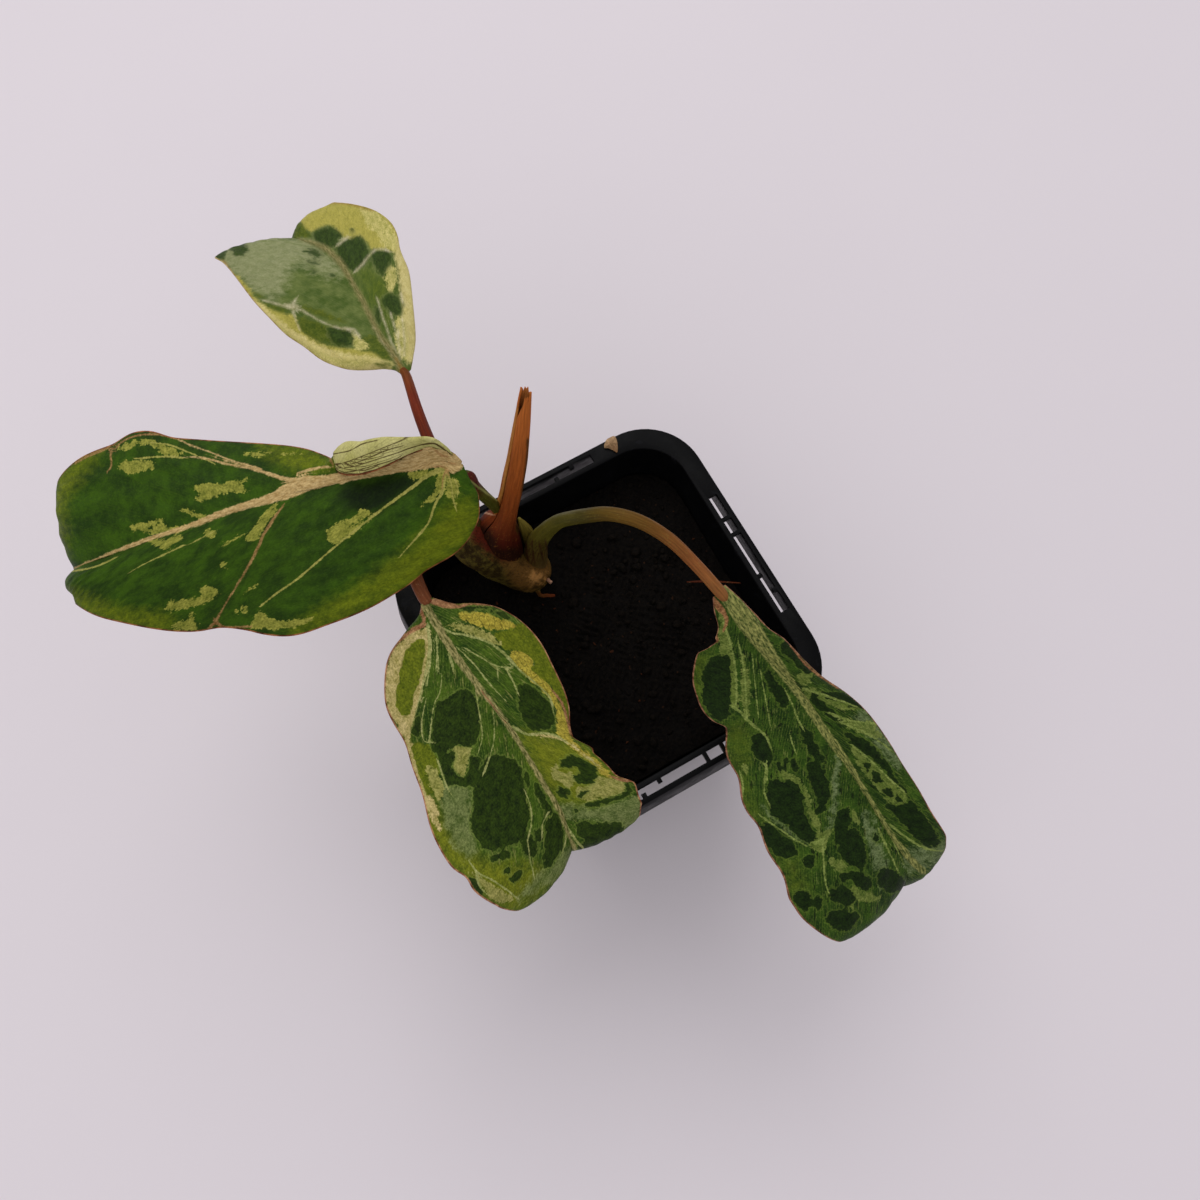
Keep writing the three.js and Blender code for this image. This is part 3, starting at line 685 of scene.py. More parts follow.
leftMarks = {
    # painted light along the right-lower margin and the left tip, where the blade bends towards the light
    "paintedLight": {"patches": [
        [478, 510, 470, 540, 440, 562, 400, 592, 290, 634, 380, 572, 425, 535, 455, 500],
        [52, 519, 62, 475, 98, 451, 72, 488, 63, 515, 64, 552],
        [160, 630, 110, 620, 80, 606, 72, 592, 96, 602, 130, 612, 170, 618],
        [262, 448, 300, 450, 332, 462, 325, 470, 296, 470],
    ]},
    # painted shade: the dark zone by the midrib and under the folded flap, where the blade turns from the
    # light
    "shade": {"patches": [
        [338, 492, 352, 486, 404, 476, 416, 480, 408, 490, 385, 509, 368, 514, 350, 508],
    ]},
    "lime": {"patches": [
        [196, 488, 201, 484, 222, 484, 250, 479, 243, 484, 248, 490, 254, 492, 230, 493, 216, 496,
         208, 501, 196, 500, 200, 494],
        [180, 510, 190, 510, 200, 514, 208, 516, 203, 521, 190, 514],
        [131, 527, 146, 523, 150, 527, 156, 532, 150, 534, 134, 530],
        [147, 524, 158, 520, 166, 520, 152, 526],
        [155, 527, 164, 524, 172, 528, 192, 524, 184, 532, 168, 535, 158, 535],
        [150, 541, 165, 540, 184, 537, 170, 549, 162, 549],
        [204, 534, 212, 530, 218, 533, 212, 538],
        [245, 540, 250, 532, 268, 511, 280, 504, 263, 532, 257, 541],
        [220, 563, 225, 562, 227, 567, 223, 568],
        [197, 586, 204, 588, 207, 586, 214, 587, 219, 592, 213, 598, 196, 606, 172, 611, 166, 611,
         168, 604, 176, 600, 196, 598, 202, 593],
        [172, 628, 178, 622, 187, 618, 192, 612, 195, 620, 199, 626, 190, 630],
        [122, 462, 134, 461, 150, 461, 155, 463, 153, 469, 145, 471, 136, 474, 119, 470],
        [118, 450, 128, 444, 142, 440, 155, 441, 172, 449, 182, 454, 176, 457, 164, 455, 150, 445,
         138, 446, 128, 450],
        [243, 606, 247, 605, 249, 611, 244, 613],
        [236, 610, 239, 613, 237, 616],
        [250, 624, 262, 611, 268, 617, 285, 620, 314, 618, 294, 627, 262, 628],
        [326, 532, 342, 521, 351, 520, 356, 513, 362, 510, 370, 510, 377, 509, 356, 522, 351, 527,
         372, 518, 350, 536, 338, 546, 333, 543, 328, 541],
        [438, 475, 432, 495, 422, 505, 434, 501, 438, 495, 442, 492, 445, 484, 443, 475],
        [447, 477, 447, 494, 450, 498, 452, 504, 456, 506, 455, 497, 459, 491, 459, 484, 455, 480,
         450, 479],
        [410, 474, 428, 470, 438, 472, 431, 476, 412, 480],
        [244, 455, 262, 455, 266, 456, 250, 457],
    ], "lines": [
        [262, 453, 0.8, 280, 455, 1, 300, 455, 0.6],
        [246, 593, 0.8, 252, 588, 0.9, 258, 584, 0.6],
        [222, 546, 0.6, 234, 540, 0.8, 246, 534, 0.4],
        [422, 506, 0.3, 430, 499, 0.8, 440, 488, 0.8],
    ]},
    "vein": {"lines": [
        [262, 605, 0.7, 280, 591, 0.9, 300, 577, 0.9, 335, 547, 0.9, 375, 515, 1.1, 412, 488, 1.4,
         423, 479, 1.8, 433, 473, 2.4, 445, 469, 3],
        [446, 470, 2, 442, 492, 1.6, 437, 500, 1.2, 433, 509, 1.1, 429, 521, 1, 421, 532, 0.9,
         400, 556, 0.4],
        [447, 471, 1.6, 451, 484, 1, 453, 500, 0.7, 456, 510, 0.4],
        [455, 480, 1, 458, 488, 0.7, 457, 496, 0.4],
        [184, 546, 0.9, 145, 564, 0.5, 130, 573, 0.3],
        [69, 573, 0.8, 90, 569, 0.7, 105, 564, 0.6, 118, 558, 0.4],
        [213, 533, 0.4, 190, 545, 0.4],
        [135, 459, 0.6, 170, 457, 1, 186, 459, 0.8],
        [150, 443, 0.5, 166, 445, 0.7, 182, 450, 0.7, 214, 464, 0.5],
    ]},
    "rib": {"patches": [
        [340, 484, 352, 481, 375, 476, 395, 473, 410, 472, 430, 469, 445, 467, 452, 474, 462, 468,
         462, 458, 452, 452, 440, 448, 426, 445, 412, 452, 402, 458, 392, 464, 370, 469, 350, 474,
         338, 478],
    ], "lines": [
        [405, 465, 7, 380, 469, 7, 355, 474, 6, 330, 480, 5.6, 308, 485, 6.8, 290, 491, 7.5, 272, 499, 5,
         250, 505, 3.8, 225, 513, 3.3, 200, 523, 3, 180, 530, 2.7, 160, 536, 2.4, 140, 543, 1.9,
         120, 550, 1.5, 100, 558, 1.2, 85, 564, 1.1, 70, 571, 1],
        [310, 480, 4, 295, 481, 2.6, 280, 478, 1.8, 262, 472, 1.4, 245, 468, 1.1, 228, 465, 1,
         212, 461, 0.8, 198, 458, 0.7, 184, 458, 0.5],
        [262, 470, 1, 245, 465, 0.8, 230, 461, 0.7, 216, 455, 0.7, 202, 450, 0.6, 190, 446, 0.5,
         178, 440, 0.4],
        [330, 467, 0.8, 314, 470, 1, 300, 474, 1.4],
    ]},
    "rust": {"lines": [
        [284, 506, 0.8, 274, 519, 1.3, 264, 535, 1.3, 258, 549, 1.4, 243, 576, 0.8, 224, 607, 0.7,
         216, 621, 1.4],
        [115, 444, 0.9, 112, 455, 0.9, 112, 466, 0.7, 108, 472, 0.4],
        [112, 446, 1.2, 100, 452, 1.6, 88, 457, 1.3, 76, 464, 1],
        [116, 450, 0.5, 122, 443, 0.7, 132, 438, 0.8, 146, 435, 0.8, 164, 436, 0.8, 178, 440, 0.6],
        [170, 438, 0.8, 200, 439, 1, 240, 442, 1.2, 280, 443, 1, 306, 448, 1, 322, 453, 1.2,
         332, 460, 1],
        [208, 630, 1, 216, 622, 1.6, 226, 627, 1.2, 250, 626, 1],
        [436, 449, 1.2, 441, 453, 1.4, 448, 455, 0.9],
        [436, 467, 0.6, 442, 467, 1.1, 447, 470, 1.2, 449, 476, 0.8],
        [445, 462, 0.5, 450, 461, 0.7, 456, 464, 0.5],
        [446, 471, 1, 443, 479, 0.8, 442, 488, 0.5],
        [322, 453, 0.8, 330, 458, 1.2, 333, 464, 0.8],
    ]},
    "flap": {"lines": [
        [335, 454, 0.5, 350, 451, 0.5, 362, 445, 0.5, 378, 441, 0.4],
        [335, 464, 0.6, 350, 461, 0.5, 400, 441, 0.5, 413, 438, 0.4],
        [337, 465, 0.5, 355, 463, 0.5, 387, 450, 0.6, 403, 445, 0.4],
        [336, 468, 0.5, 350, 467, 0.5, 362, 464, 0.5, 395, 453, 0.5, 410, 447, 0.6, 425, 443, 0.7,
         436, 443, 0.8, 448, 452, 0.8],
        [338, 472, 0.5, 348, 472, 0.5, 362, 469, 0.5, 392, 460, 0.5, 401, 455, 0.4],
        [333, 458, 0.8, 335, 467, 0.8, 340, 473, 0.8, 347, 477, 0.9, 357, 476, 0.9, 366, 472, 0.7,
         391, 467, 0.9, 399, 462, 0.8],
    ]},
}
leftLeaf = {
    "stations": [
        [[-13.8, 23.8, 112.5], [-13.5, 25.5, 113.5], [-14, 27, 114.5]],
        [[-13.5, 20, 110], [-14.5, 26, 114], [-15, 28, 116]],
        [[-16, 17.5, 107.5], [-15.5, 27.5, 114], [-17, 29.5, 117]],
        [[-22, 15.5, 106.5], [-17.5, 28.5, 114], [-21, 30, 117.5]],
        [[-30.5, 14.5, 106.5], [-21, 29, 114], [-25, 30, 117.2]],
        [[-39, 14, 105], [-25, 30.5, 113.5], [-29, 31, 116.5]],
        [[-48.5, 15.5, 104], [-30.5, 32, 113.5], [-32, 33.5, 115.8]],
        [[-56.5, 19.5, 103.5], [-36, 34, 113], [-32.5, 38.5, 113]],
        [[-62, 24, 103], [-42, 36, 112], [-37.5, 44.5, 110.5]],
        [[-71, 29, 102], [-51.5, 38.5, 110], [-48.3, 52.8, 108]],
        [[-78.5, 35.5, 101], [-61, 41.5, 107.5], [-56.8, 60.3, 107]],
        [[-82.5, 41.5, 99.5], [-71, 44, 104.5], [-66.2, 62.8, 105.5]],
        [[-83.2, 44, 98], [-77.5, 46.5, 101.5], [-75.8, 63.2, 102]],
        [[-84, 46.6, 94], [-81.2, 48.8, 97.5], [-79.6, 60.6, 98]],
        [[-83.2, 49, 88.5], [-81.8, 51.2, 91], [-80, 58, 91.5]],
        [[-82, 51.5, 83], [-81.5, 53, 83.5], [-80, 56, 83.5]],
        [[-79.2, 53.5, 78.8], [-79, 54, 79], [-78.8, 54.6, 78.8]],
    ],
    # where the right basal lobe doubles back over the midrib, by station
    "crease": {
        1: [-14.8, 28.4, 116.6],
        2: [-16.2, 30, 118.4],
        3: [-19.2, 31.3, 119.4],
        4: [-22.6, 33.3, 119.4],
        5: [-26.2, 34.9, 118.8],
        6: [-29.6, 37, 117.2],
    },
    "camber": [2.6, 1.4],
    "wave": 0.4,
    "waves": 3.5,
    "ribDepth": 1.1,
    # the outline that the leaf shows in the picture, and the lengths of its two sides that follow it
    "outline": [
        464, 482, 474, 487, 478, 496, 479, 506, 478, 520, 467, 541, 451, 556, 426, 570, 411, 583,
        392, 595, 373, 606, 351, 616, 326, 625, 304, 633, 286, 636, 264, 634, 248, 630, 220, 627,
        201, 631, 176, 631, 151, 628, 126, 623, 98, 616, 79, 606, 70, 595, 68, 581, 69, 570, 61, 556,
        54, 541, 52, 528, 52, 515, 54, 494, 62, 475, 79, 459, 98, 450, 115, 444, 129, 434, 148, 431,
        161, 434, 170, 438, 201, 440, 232, 442, 264, 444, 295, 447, 317, 452, 331, 457, 345, 441,
        385, 437, 420, 436, 445, 447, 462, 458,
    ],
    "traced": ((0.05, 0.79), (0.47, 0.79)),
    "marks": leftMarks,
    "looks": {
        "gloss": 0.05,
        "ground": ("#20360b", "#34500e"),
        "wear": 0.2,
        "granules": 0.12,
        "granuleTone": "#4c5e12",
        "sideVeins": 0.14,
        "fineVeins": 0.14,
        # tones of the painted light
        "paintedLight": ("#5a6610", "#707a14", 0.84),
        # tones of the painted shade
        "shade": ("#0c150a", "#162409", 0.95),
        "lime": ("#5c6420", "#969440", 1.0),
        "vein": ("#85843a", "#a09a50", 0.95),
        "rib": ("#a08250", "#ccb07a", 0.92),
        "rust": ("#78502c", "#b08858", 0.72),
        "net": 0.14,
        "netTone": "#1c2c0a",
        "margin": "#542a16",
        "marginPale": "#a0663c",
        "marginWidth": 0.2,
        "underside": ("#aaa660", "#c4be7e"),
        "underVein": "#4a3c1c",
    },
}

frontMarks = {
    # painted light: softly lighter olive patches along the margins
    "paintedLight": {"patches": [
        [402, 730, 440, 815, 470, 850, 500, 872, 530, 890, 515, 908, 480, 892, 440, 855, 415, 800],
        [524, 736, 556, 738, 590, 755, 614, 778, 600, 800, 566, 802, 546, 782],
        [448, 848, 480, 860, 520, 864, 548, 876, 520, 905, 480, 890],
    ]},
    # silvery marbling, partly a painted reflection of the sky, as on the lower right of this blade
    "silverAndSheen": {"patches": [
        [442, 785, 470, 786, 470, 820, 478, 842, 468, 858, 452, 840, 444, 815],
        [556, 804, 600, 806, 640, 796, 642, 815, 620, 830, 590, 818, 568, 818],
        [560, 850, 580, 852, 560, 872, 520, 900, 530, 880, 548, 866],
    ]},
    "cream": {"patches": [
        [424, 628, 410, 634, 396, 648, 389, 665, 386, 690, 389, 712, 396, 722, 404, 738, 410, 742,
         412, 728, 428, 670, 431, 648, 430, 632],
        [405, 742, 414, 742, 420, 752, 418, 768, 425, 785, 436, 802, 440, 830, 430, 815, 420, 785,
         408, 756],
    ], "lines": [[536, 734, 1.2, 556, 738, 1, 575, 748, 0.8, 600, 768, 0.8]]},
    "gold": {"patches": [
        [461, 612, 480, 613, 516, 625, 536, 644, 508, 630, 495, 631, 462, 620],
        [511, 651, 520, 651, 530, 657, 534, 664, 531, 669, 541, 678, 552, 690, 567, 722, 570, 740,
         562, 738, 555, 722, 555, 708, 548, 697, 526, 677, 512, 660],
        [556, 728, 566, 730, 575, 743, 600, 764, 612, 777, 606, 778, 590, 764, 562, 740],
    ]},
    "moss": {"patches": [
        [423, 640, 412, 644, 404, 657, 397, 690, 397, 704, 402, 714, 408, 716, 412, 709, 415, 694,
         420, 680, 426, 650],
        [495, 633, 510, 630, 520, 624, 534, 628, 548, 645, 568, 690, 575, 722, 568, 722, 552, 689,
         541, 678, 531, 669, 534, 664, 530, 657, 520, 651, 511, 651, 500, 645],
        [412, 745, 424, 742, 433, 750, 440, 765, 436, 790, 428, 795, 422, 780, 416, 760],
    ]},
    "lime": {"patches": [
        [576, 788, 590, 783, 600, 776, 622, 783, 624, 792, 614, 796, 586, 800, 578, 795],
        [556, 762, 560, 772, 570, 772, 576, 776, 573, 786, 562, 784, 552, 776],
        [455, 758, 462, 752, 470, 753, 464, 776, 457, 774, 453, 766],
        [454, 747, 462, 745, 470, 748, 466, 756, 456, 758],
        [470, 870, 498, 888, 512, 898, 500, 902, 486, 893],
        [446, 626, 462, 624, 482, 630, 500, 643, 496, 646, 480, 638],
        [430, 765, 437, 772, 444, 788, 440, 800, 428, 780],
    ]},
    "gloom": {"patches": [
        [435, 708, 438, 702, 461, 690, 476, 697, 480, 722, 478, 735, 472, 744, 465, 747, 456, 745,
         450, 750, 446, 758, 433, 748, 434, 724],
        [440, 756, 450, 751, 456, 757, 452, 766, 464, 778, 470, 768, 470, 757, 477, 755, 480, 764,
         478, 778, 470, 786, 458, 785, 448, 785, 443, 774],
        [488, 757, 498, 755, 517, 762, 522, 775, 524, 790, 528, 805, 529, 820, 526, 835, 518, 843,
         505, 846, 495, 850, 486, 850, 474, 835, 471, 822, 474, 806, 474, 790, 482, 765],
        [560, 764, 570, 755, 590, 763, 597, 770, 594, 780, 588, 785, 580, 783, 573, 776, 580, 772,
         575, 767, 567, 768],
        [557, 790, 562, 786, 570, 794, 566, 797],
        [579, 795, 583, 791, 588, 791, 582, 797],
        [587, 804, 596, 801, 621, 794, 626, 786, 624, 778, 629, 785, 628, 795, 616, 800, 592, 807],
        [578, 822, 590, 821, 604, 823, 616, 822, 622, 827, 619, 834, 594, 848, 584, 851, 577, 845,
         584, 840, 578, 832],
        [545, 822, 557, 813, 563, 840, 558, 854, 550, 866, 543, 865, 543, 854, 545, 840],
        [522, 842, 530, 836, 537, 845, 536, 854, 530, 857, 523, 851],
        [534, 832, 539, 828, 542, 835, 540, 843, 535, 842],
        [492, 855, 500, 851, 510, 850, 511, 855, 494, 861],
        [504, 870, 508, 866, 511, 869, 508, 874],
        [510, 878, 515, 872, 521, 870, 522, 875, 518, 880, 513, 881],
        [469, 879, 475, 878, 484, 894, 476, 892],
        [573, 809, 577, 807, 579, 810, 575, 813],
        [519, 686, 536, 690, 551, 707, 552, 727, 533, 729, 519, 711],
        [420, 713, 421, 735, 416, 736, 413, 728],
        [535, 784, 540, 787, 547, 800, 553, 812, 549, 816, 536, 795],
        [524, 770, 528, 774, 530, 784, 527, 786, 524, 778],
        [490, 610, 512, 618, 506, 619, 494, 615],
        [460, 607, 475, 607, 490, 609, 464, 611],
    ]},
    "vein": {"lines": [
        [434, 622, 1.4, 450, 632, 1, 465, 635, 0.9, 485, 641, 0.9, 498, 649, 1.3, 510, 660, 1.5,
         518, 669, 0.9],
        [518, 669, 0.9, 545, 692, 0.9, 551, 703, 0.9, 553, 714, 0.6],
        [513, 726, 1.6, 528, 734, 1.2, 543, 733, 1, 556, 736, 0.9, 567, 743, 0.6],
        [428, 626, 1.6, 429, 650, 1.1, 422, 690, 0.8, 416, 712, 0.5],
        [444, 636, 0.8, 450, 655, 0.7, 453, 672, 0.5],
        [436, 636, 0.8, 439, 672, 0.4],
        [465, 648, 0.5, 482, 658, 0.6, 496, 666, 0.7, 512, 668, 0.8],
        [497, 667, 0.7, 498, 678, 0.4],
        [505, 668, 0.6, 512, 680, 0.8, 518, 694, 0.6],
        [458, 648, 0.6, 474, 664, 0.6, 490, 684, 0.5, 505, 700, 0.4],
        [438, 760, 0.7, 446, 784, 0.8, 451, 794, 0.5],
        [470, 862, 0.7, 478, 872, 0.9, 491, 879, 0.9, 505, 888, 0.9, 518, 898, 0.7],
        [476, 871, 0.8, 479, 884, 0.9, 486, 893, 0.7],
        [527, 838, 0.5, 530, 860, 0.6, 534, 878, 0.5],
        [478, 752, 0.4, 482, 735, 0.5, 477, 700, 0.7, 476, 692, 1.2],
        [493, 712, 0.3, 494, 735, 0.4, 491, 752, 0.4, 487, 764, 1.1, 483, 774, 0.7],
        [524, 790, 0.5, 530, 806, 0.6, 531, 822, 0.7, 528, 838, 0.6],
        [548, 812, 0.6, 542, 824, 0.6, 541, 838, 0.5],
        [562, 812, 1, 565, 835, 0.8, 562, 852, 0.6],
        [431, 640, 1.1, 430, 662, 0.9, 427, 685, 0.7],
        [448, 655, 0.5, 452, 664, 1.3, 454, 672, 0.7],
        [438, 640, 0.5, 436, 672, 0.3],
        [442, 676, 0.4, 440, 692, 0.4, 434, 706, 0.5, 430, 740, 0.6],
        [426, 700, 0.4, 422, 722, 0.5, 424, 740, 0.7, 434, 742, 0.8],
        [565, 822, 0.8, 575, 838, 1.2, 582, 846, 1.2],
    ]},
    "rib": {"lines": [
        [424, 604, 3.5, 434, 620, 4.5, 446, 640, 4.2, 457, 658, 3.8, 470, 675, 3.4, 482, 691, 3.2,
         497, 709, 3, 508, 725, 3, 520, 744, 2.8, 530, 761, 2.6, 543, 784, 2.6, 553, 800, 2.4,
         561, 816, 2.3, 567, 832, 2.2, 574, 846, 2.4],
        [476, 686, 1.6, 477, 694, 1.2],
    ]},
    "rust": {"lines": [
        [424, 626, 1.6, 410, 633, 1.8, 397, 645, 1.5, 388, 662, 1.3, 385, 685, 1.3, 387, 706, 1,
         397, 728, 0.8],
        [472, 604, 0.8, 490, 605, 1, 506, 611, 1.2, 524, 623, 1, 541, 642, 0.9],
        [430, 601, 1.6, 442, 604, 3.4, 456, 607, 1.8, 470, 605, 0.9, 490, 606, 0.8],
        [422, 598, 1.4, 421, 608, 1.6, 424, 622, 1.4, 412, 630, 1],
        [551, 690, 0.8, 562, 705, 1.4, 570, 735, 1],
        [610, 776, 0.8, 622, 780, 1.4, 631, 781, 1.2],
        [482, 692, 1, 494, 706, 0.8, 505, 722, 0.6],
    ]},
}
frontLeaf = {
    "stations": [
        [[-28.2, 11.4, 101], [-29.4, 12.2, 101.2], [-30.3, 11.4, 100.8]],
        [[-25.3, 8.8, 100.2], [-29.5, 10.5, 100.8], [-32.5, 9.8, 99.8]],
        [[-21.4, 7.2, 98.8], [-29.5, 9, 100.5], [-36, 8.8, 98.5]],
        [[-18.2, 3.8, 97.3], [-29.3, 6.5, 100], [-40, 7, 97]],
        [[-16, -0.8, 95.5], [-29.2, 4, 99.3], [-43, 3, 95.5]],
        [[-15.2, -6.5, 93.5], [-28.8, 0.5, 98.3], [-44.8, -2.5, 94]],
        [[-15.8, -12, 92], [-28.5, -4, 97], [-44.8, -8, 92.5]],
        [[-17.6, -17.5, 90.5], [-28.2, -8.5, 95.5], [-45.6, -12.5, 91.5]],
        [[-16.2, -22.5, 89], [-27.3, -12.5, 93.5], [-47.2, -18.5, 90.5]],
        [[-14.3, -28, 87.5], [-26.8, -17.5, 91.5], [-48.2, -25, 89.5]],
        [[-12.5, -31, 86.5], [-26.2, -22.5, 89.5], [-47.2, -30.8, 88]],
        [[-12.5, -34, 85.5], [-25.8, -27, 87.5], [-45.6, -35.8, 86]],
        [[-13.4, -36, 84.5], [-26.3, -31.5, 85], [-43.6, -39, 83]],
        [[-14.8, -37.2, 82], [-27.8, -36, 81.5], [-40.5, -40.8, 80]],
        [[-18, -35.5, 78], [-28, -35, 77], [-36.5, -37.8, 76.5]],
        [[-22.5, -32, 75], [-27.5, -31.5, 74.2], [-32, -32, 74.5]],
        [[-27.8, -27.5, 74], [-28.3, -27.3, 73.8], [-28.8, -27.5, 74]],
    ],
    "camber": [1.6, 2],
    "wave": 0.5,
    "waves": 4,
    "ribDepth": 0.9,
    "outline": [
        422, 626, 411, 631, 400, 640, 389, 657, 385, 678, 386, 705, 395, 725, 405, 742, 413, 768,
        423, 795, 430, 825, 440, 848, 453, 868, 467, 877, 473, 889, 487, 900, 503, 907, 517, 907,
        528, 899, 543, 887, 557, 875, 563, 863, 580, 853, 600, 843, 620, 832, 638, 822, 643, 810,
        638, 795, 633, 781, 618, 777, 607, 765, 593, 753, 577, 745, 570, 728, 569, 708, 563, 688,
        553, 667, 540, 642, 523, 623, 503, 610, 487, 605, 467, 604, 447, 609, 432, 606, 424, 600,
        420, 612,
    ],
    "traced": ((0.04, 0.74), (0.04, 0.74)),
    "marks": frontMarks,
    "looks": {
        "gloss": 0.05,
        "ground": ("#223a0e", "#425a16"),
        "wear": 0.28,
        "granules": 0.3,
        "granuleTone": "#6c7c34",
        "sideVeins": 0.4,
        "fineVeins": 0.45,
        "islands": 0.55,
        "islandTone": "#1c2c0c",
        "dots": 0.35,
        "rimGlow": 0.45,
        "goldNet": 0.5,
        # tones of the painted light
        "paintedLight": ("#5e6614", "#7c801e", 0.85),
        # tones of the silvery marbling and painted sheen
        "silverAndSheen": ("#485826", "#7c8450", 0.85),
        "cream": ("#8a8240", "#c2b078", 1.0),
        "gold": ("#847828", "#b4a440", 1.0),
        "moss": ("#46540e", "#6a721a", 1.0),
        "lime": ("#666c28", "#a09a58", 1.0),
        "gloom": ("#13200a", "#2e4010", 1.0),
        "vein": ("#76803c", "#a8a86c", 0.85),
        "rib": ("#444a1c", "#a89c66", 1.0),
        "rust": ("#7a4830", "#b0805c", 0.85),
        "net": 0.2,
        "netTone": "#3a4414",
        "margin": "#6c3a24",
        "marginPale": "#b88864",
        "marginWidth": 0.2,
        "underside": ("#7d8050", "#909262"),
        "underVein": "#4d4f24",
    },
}

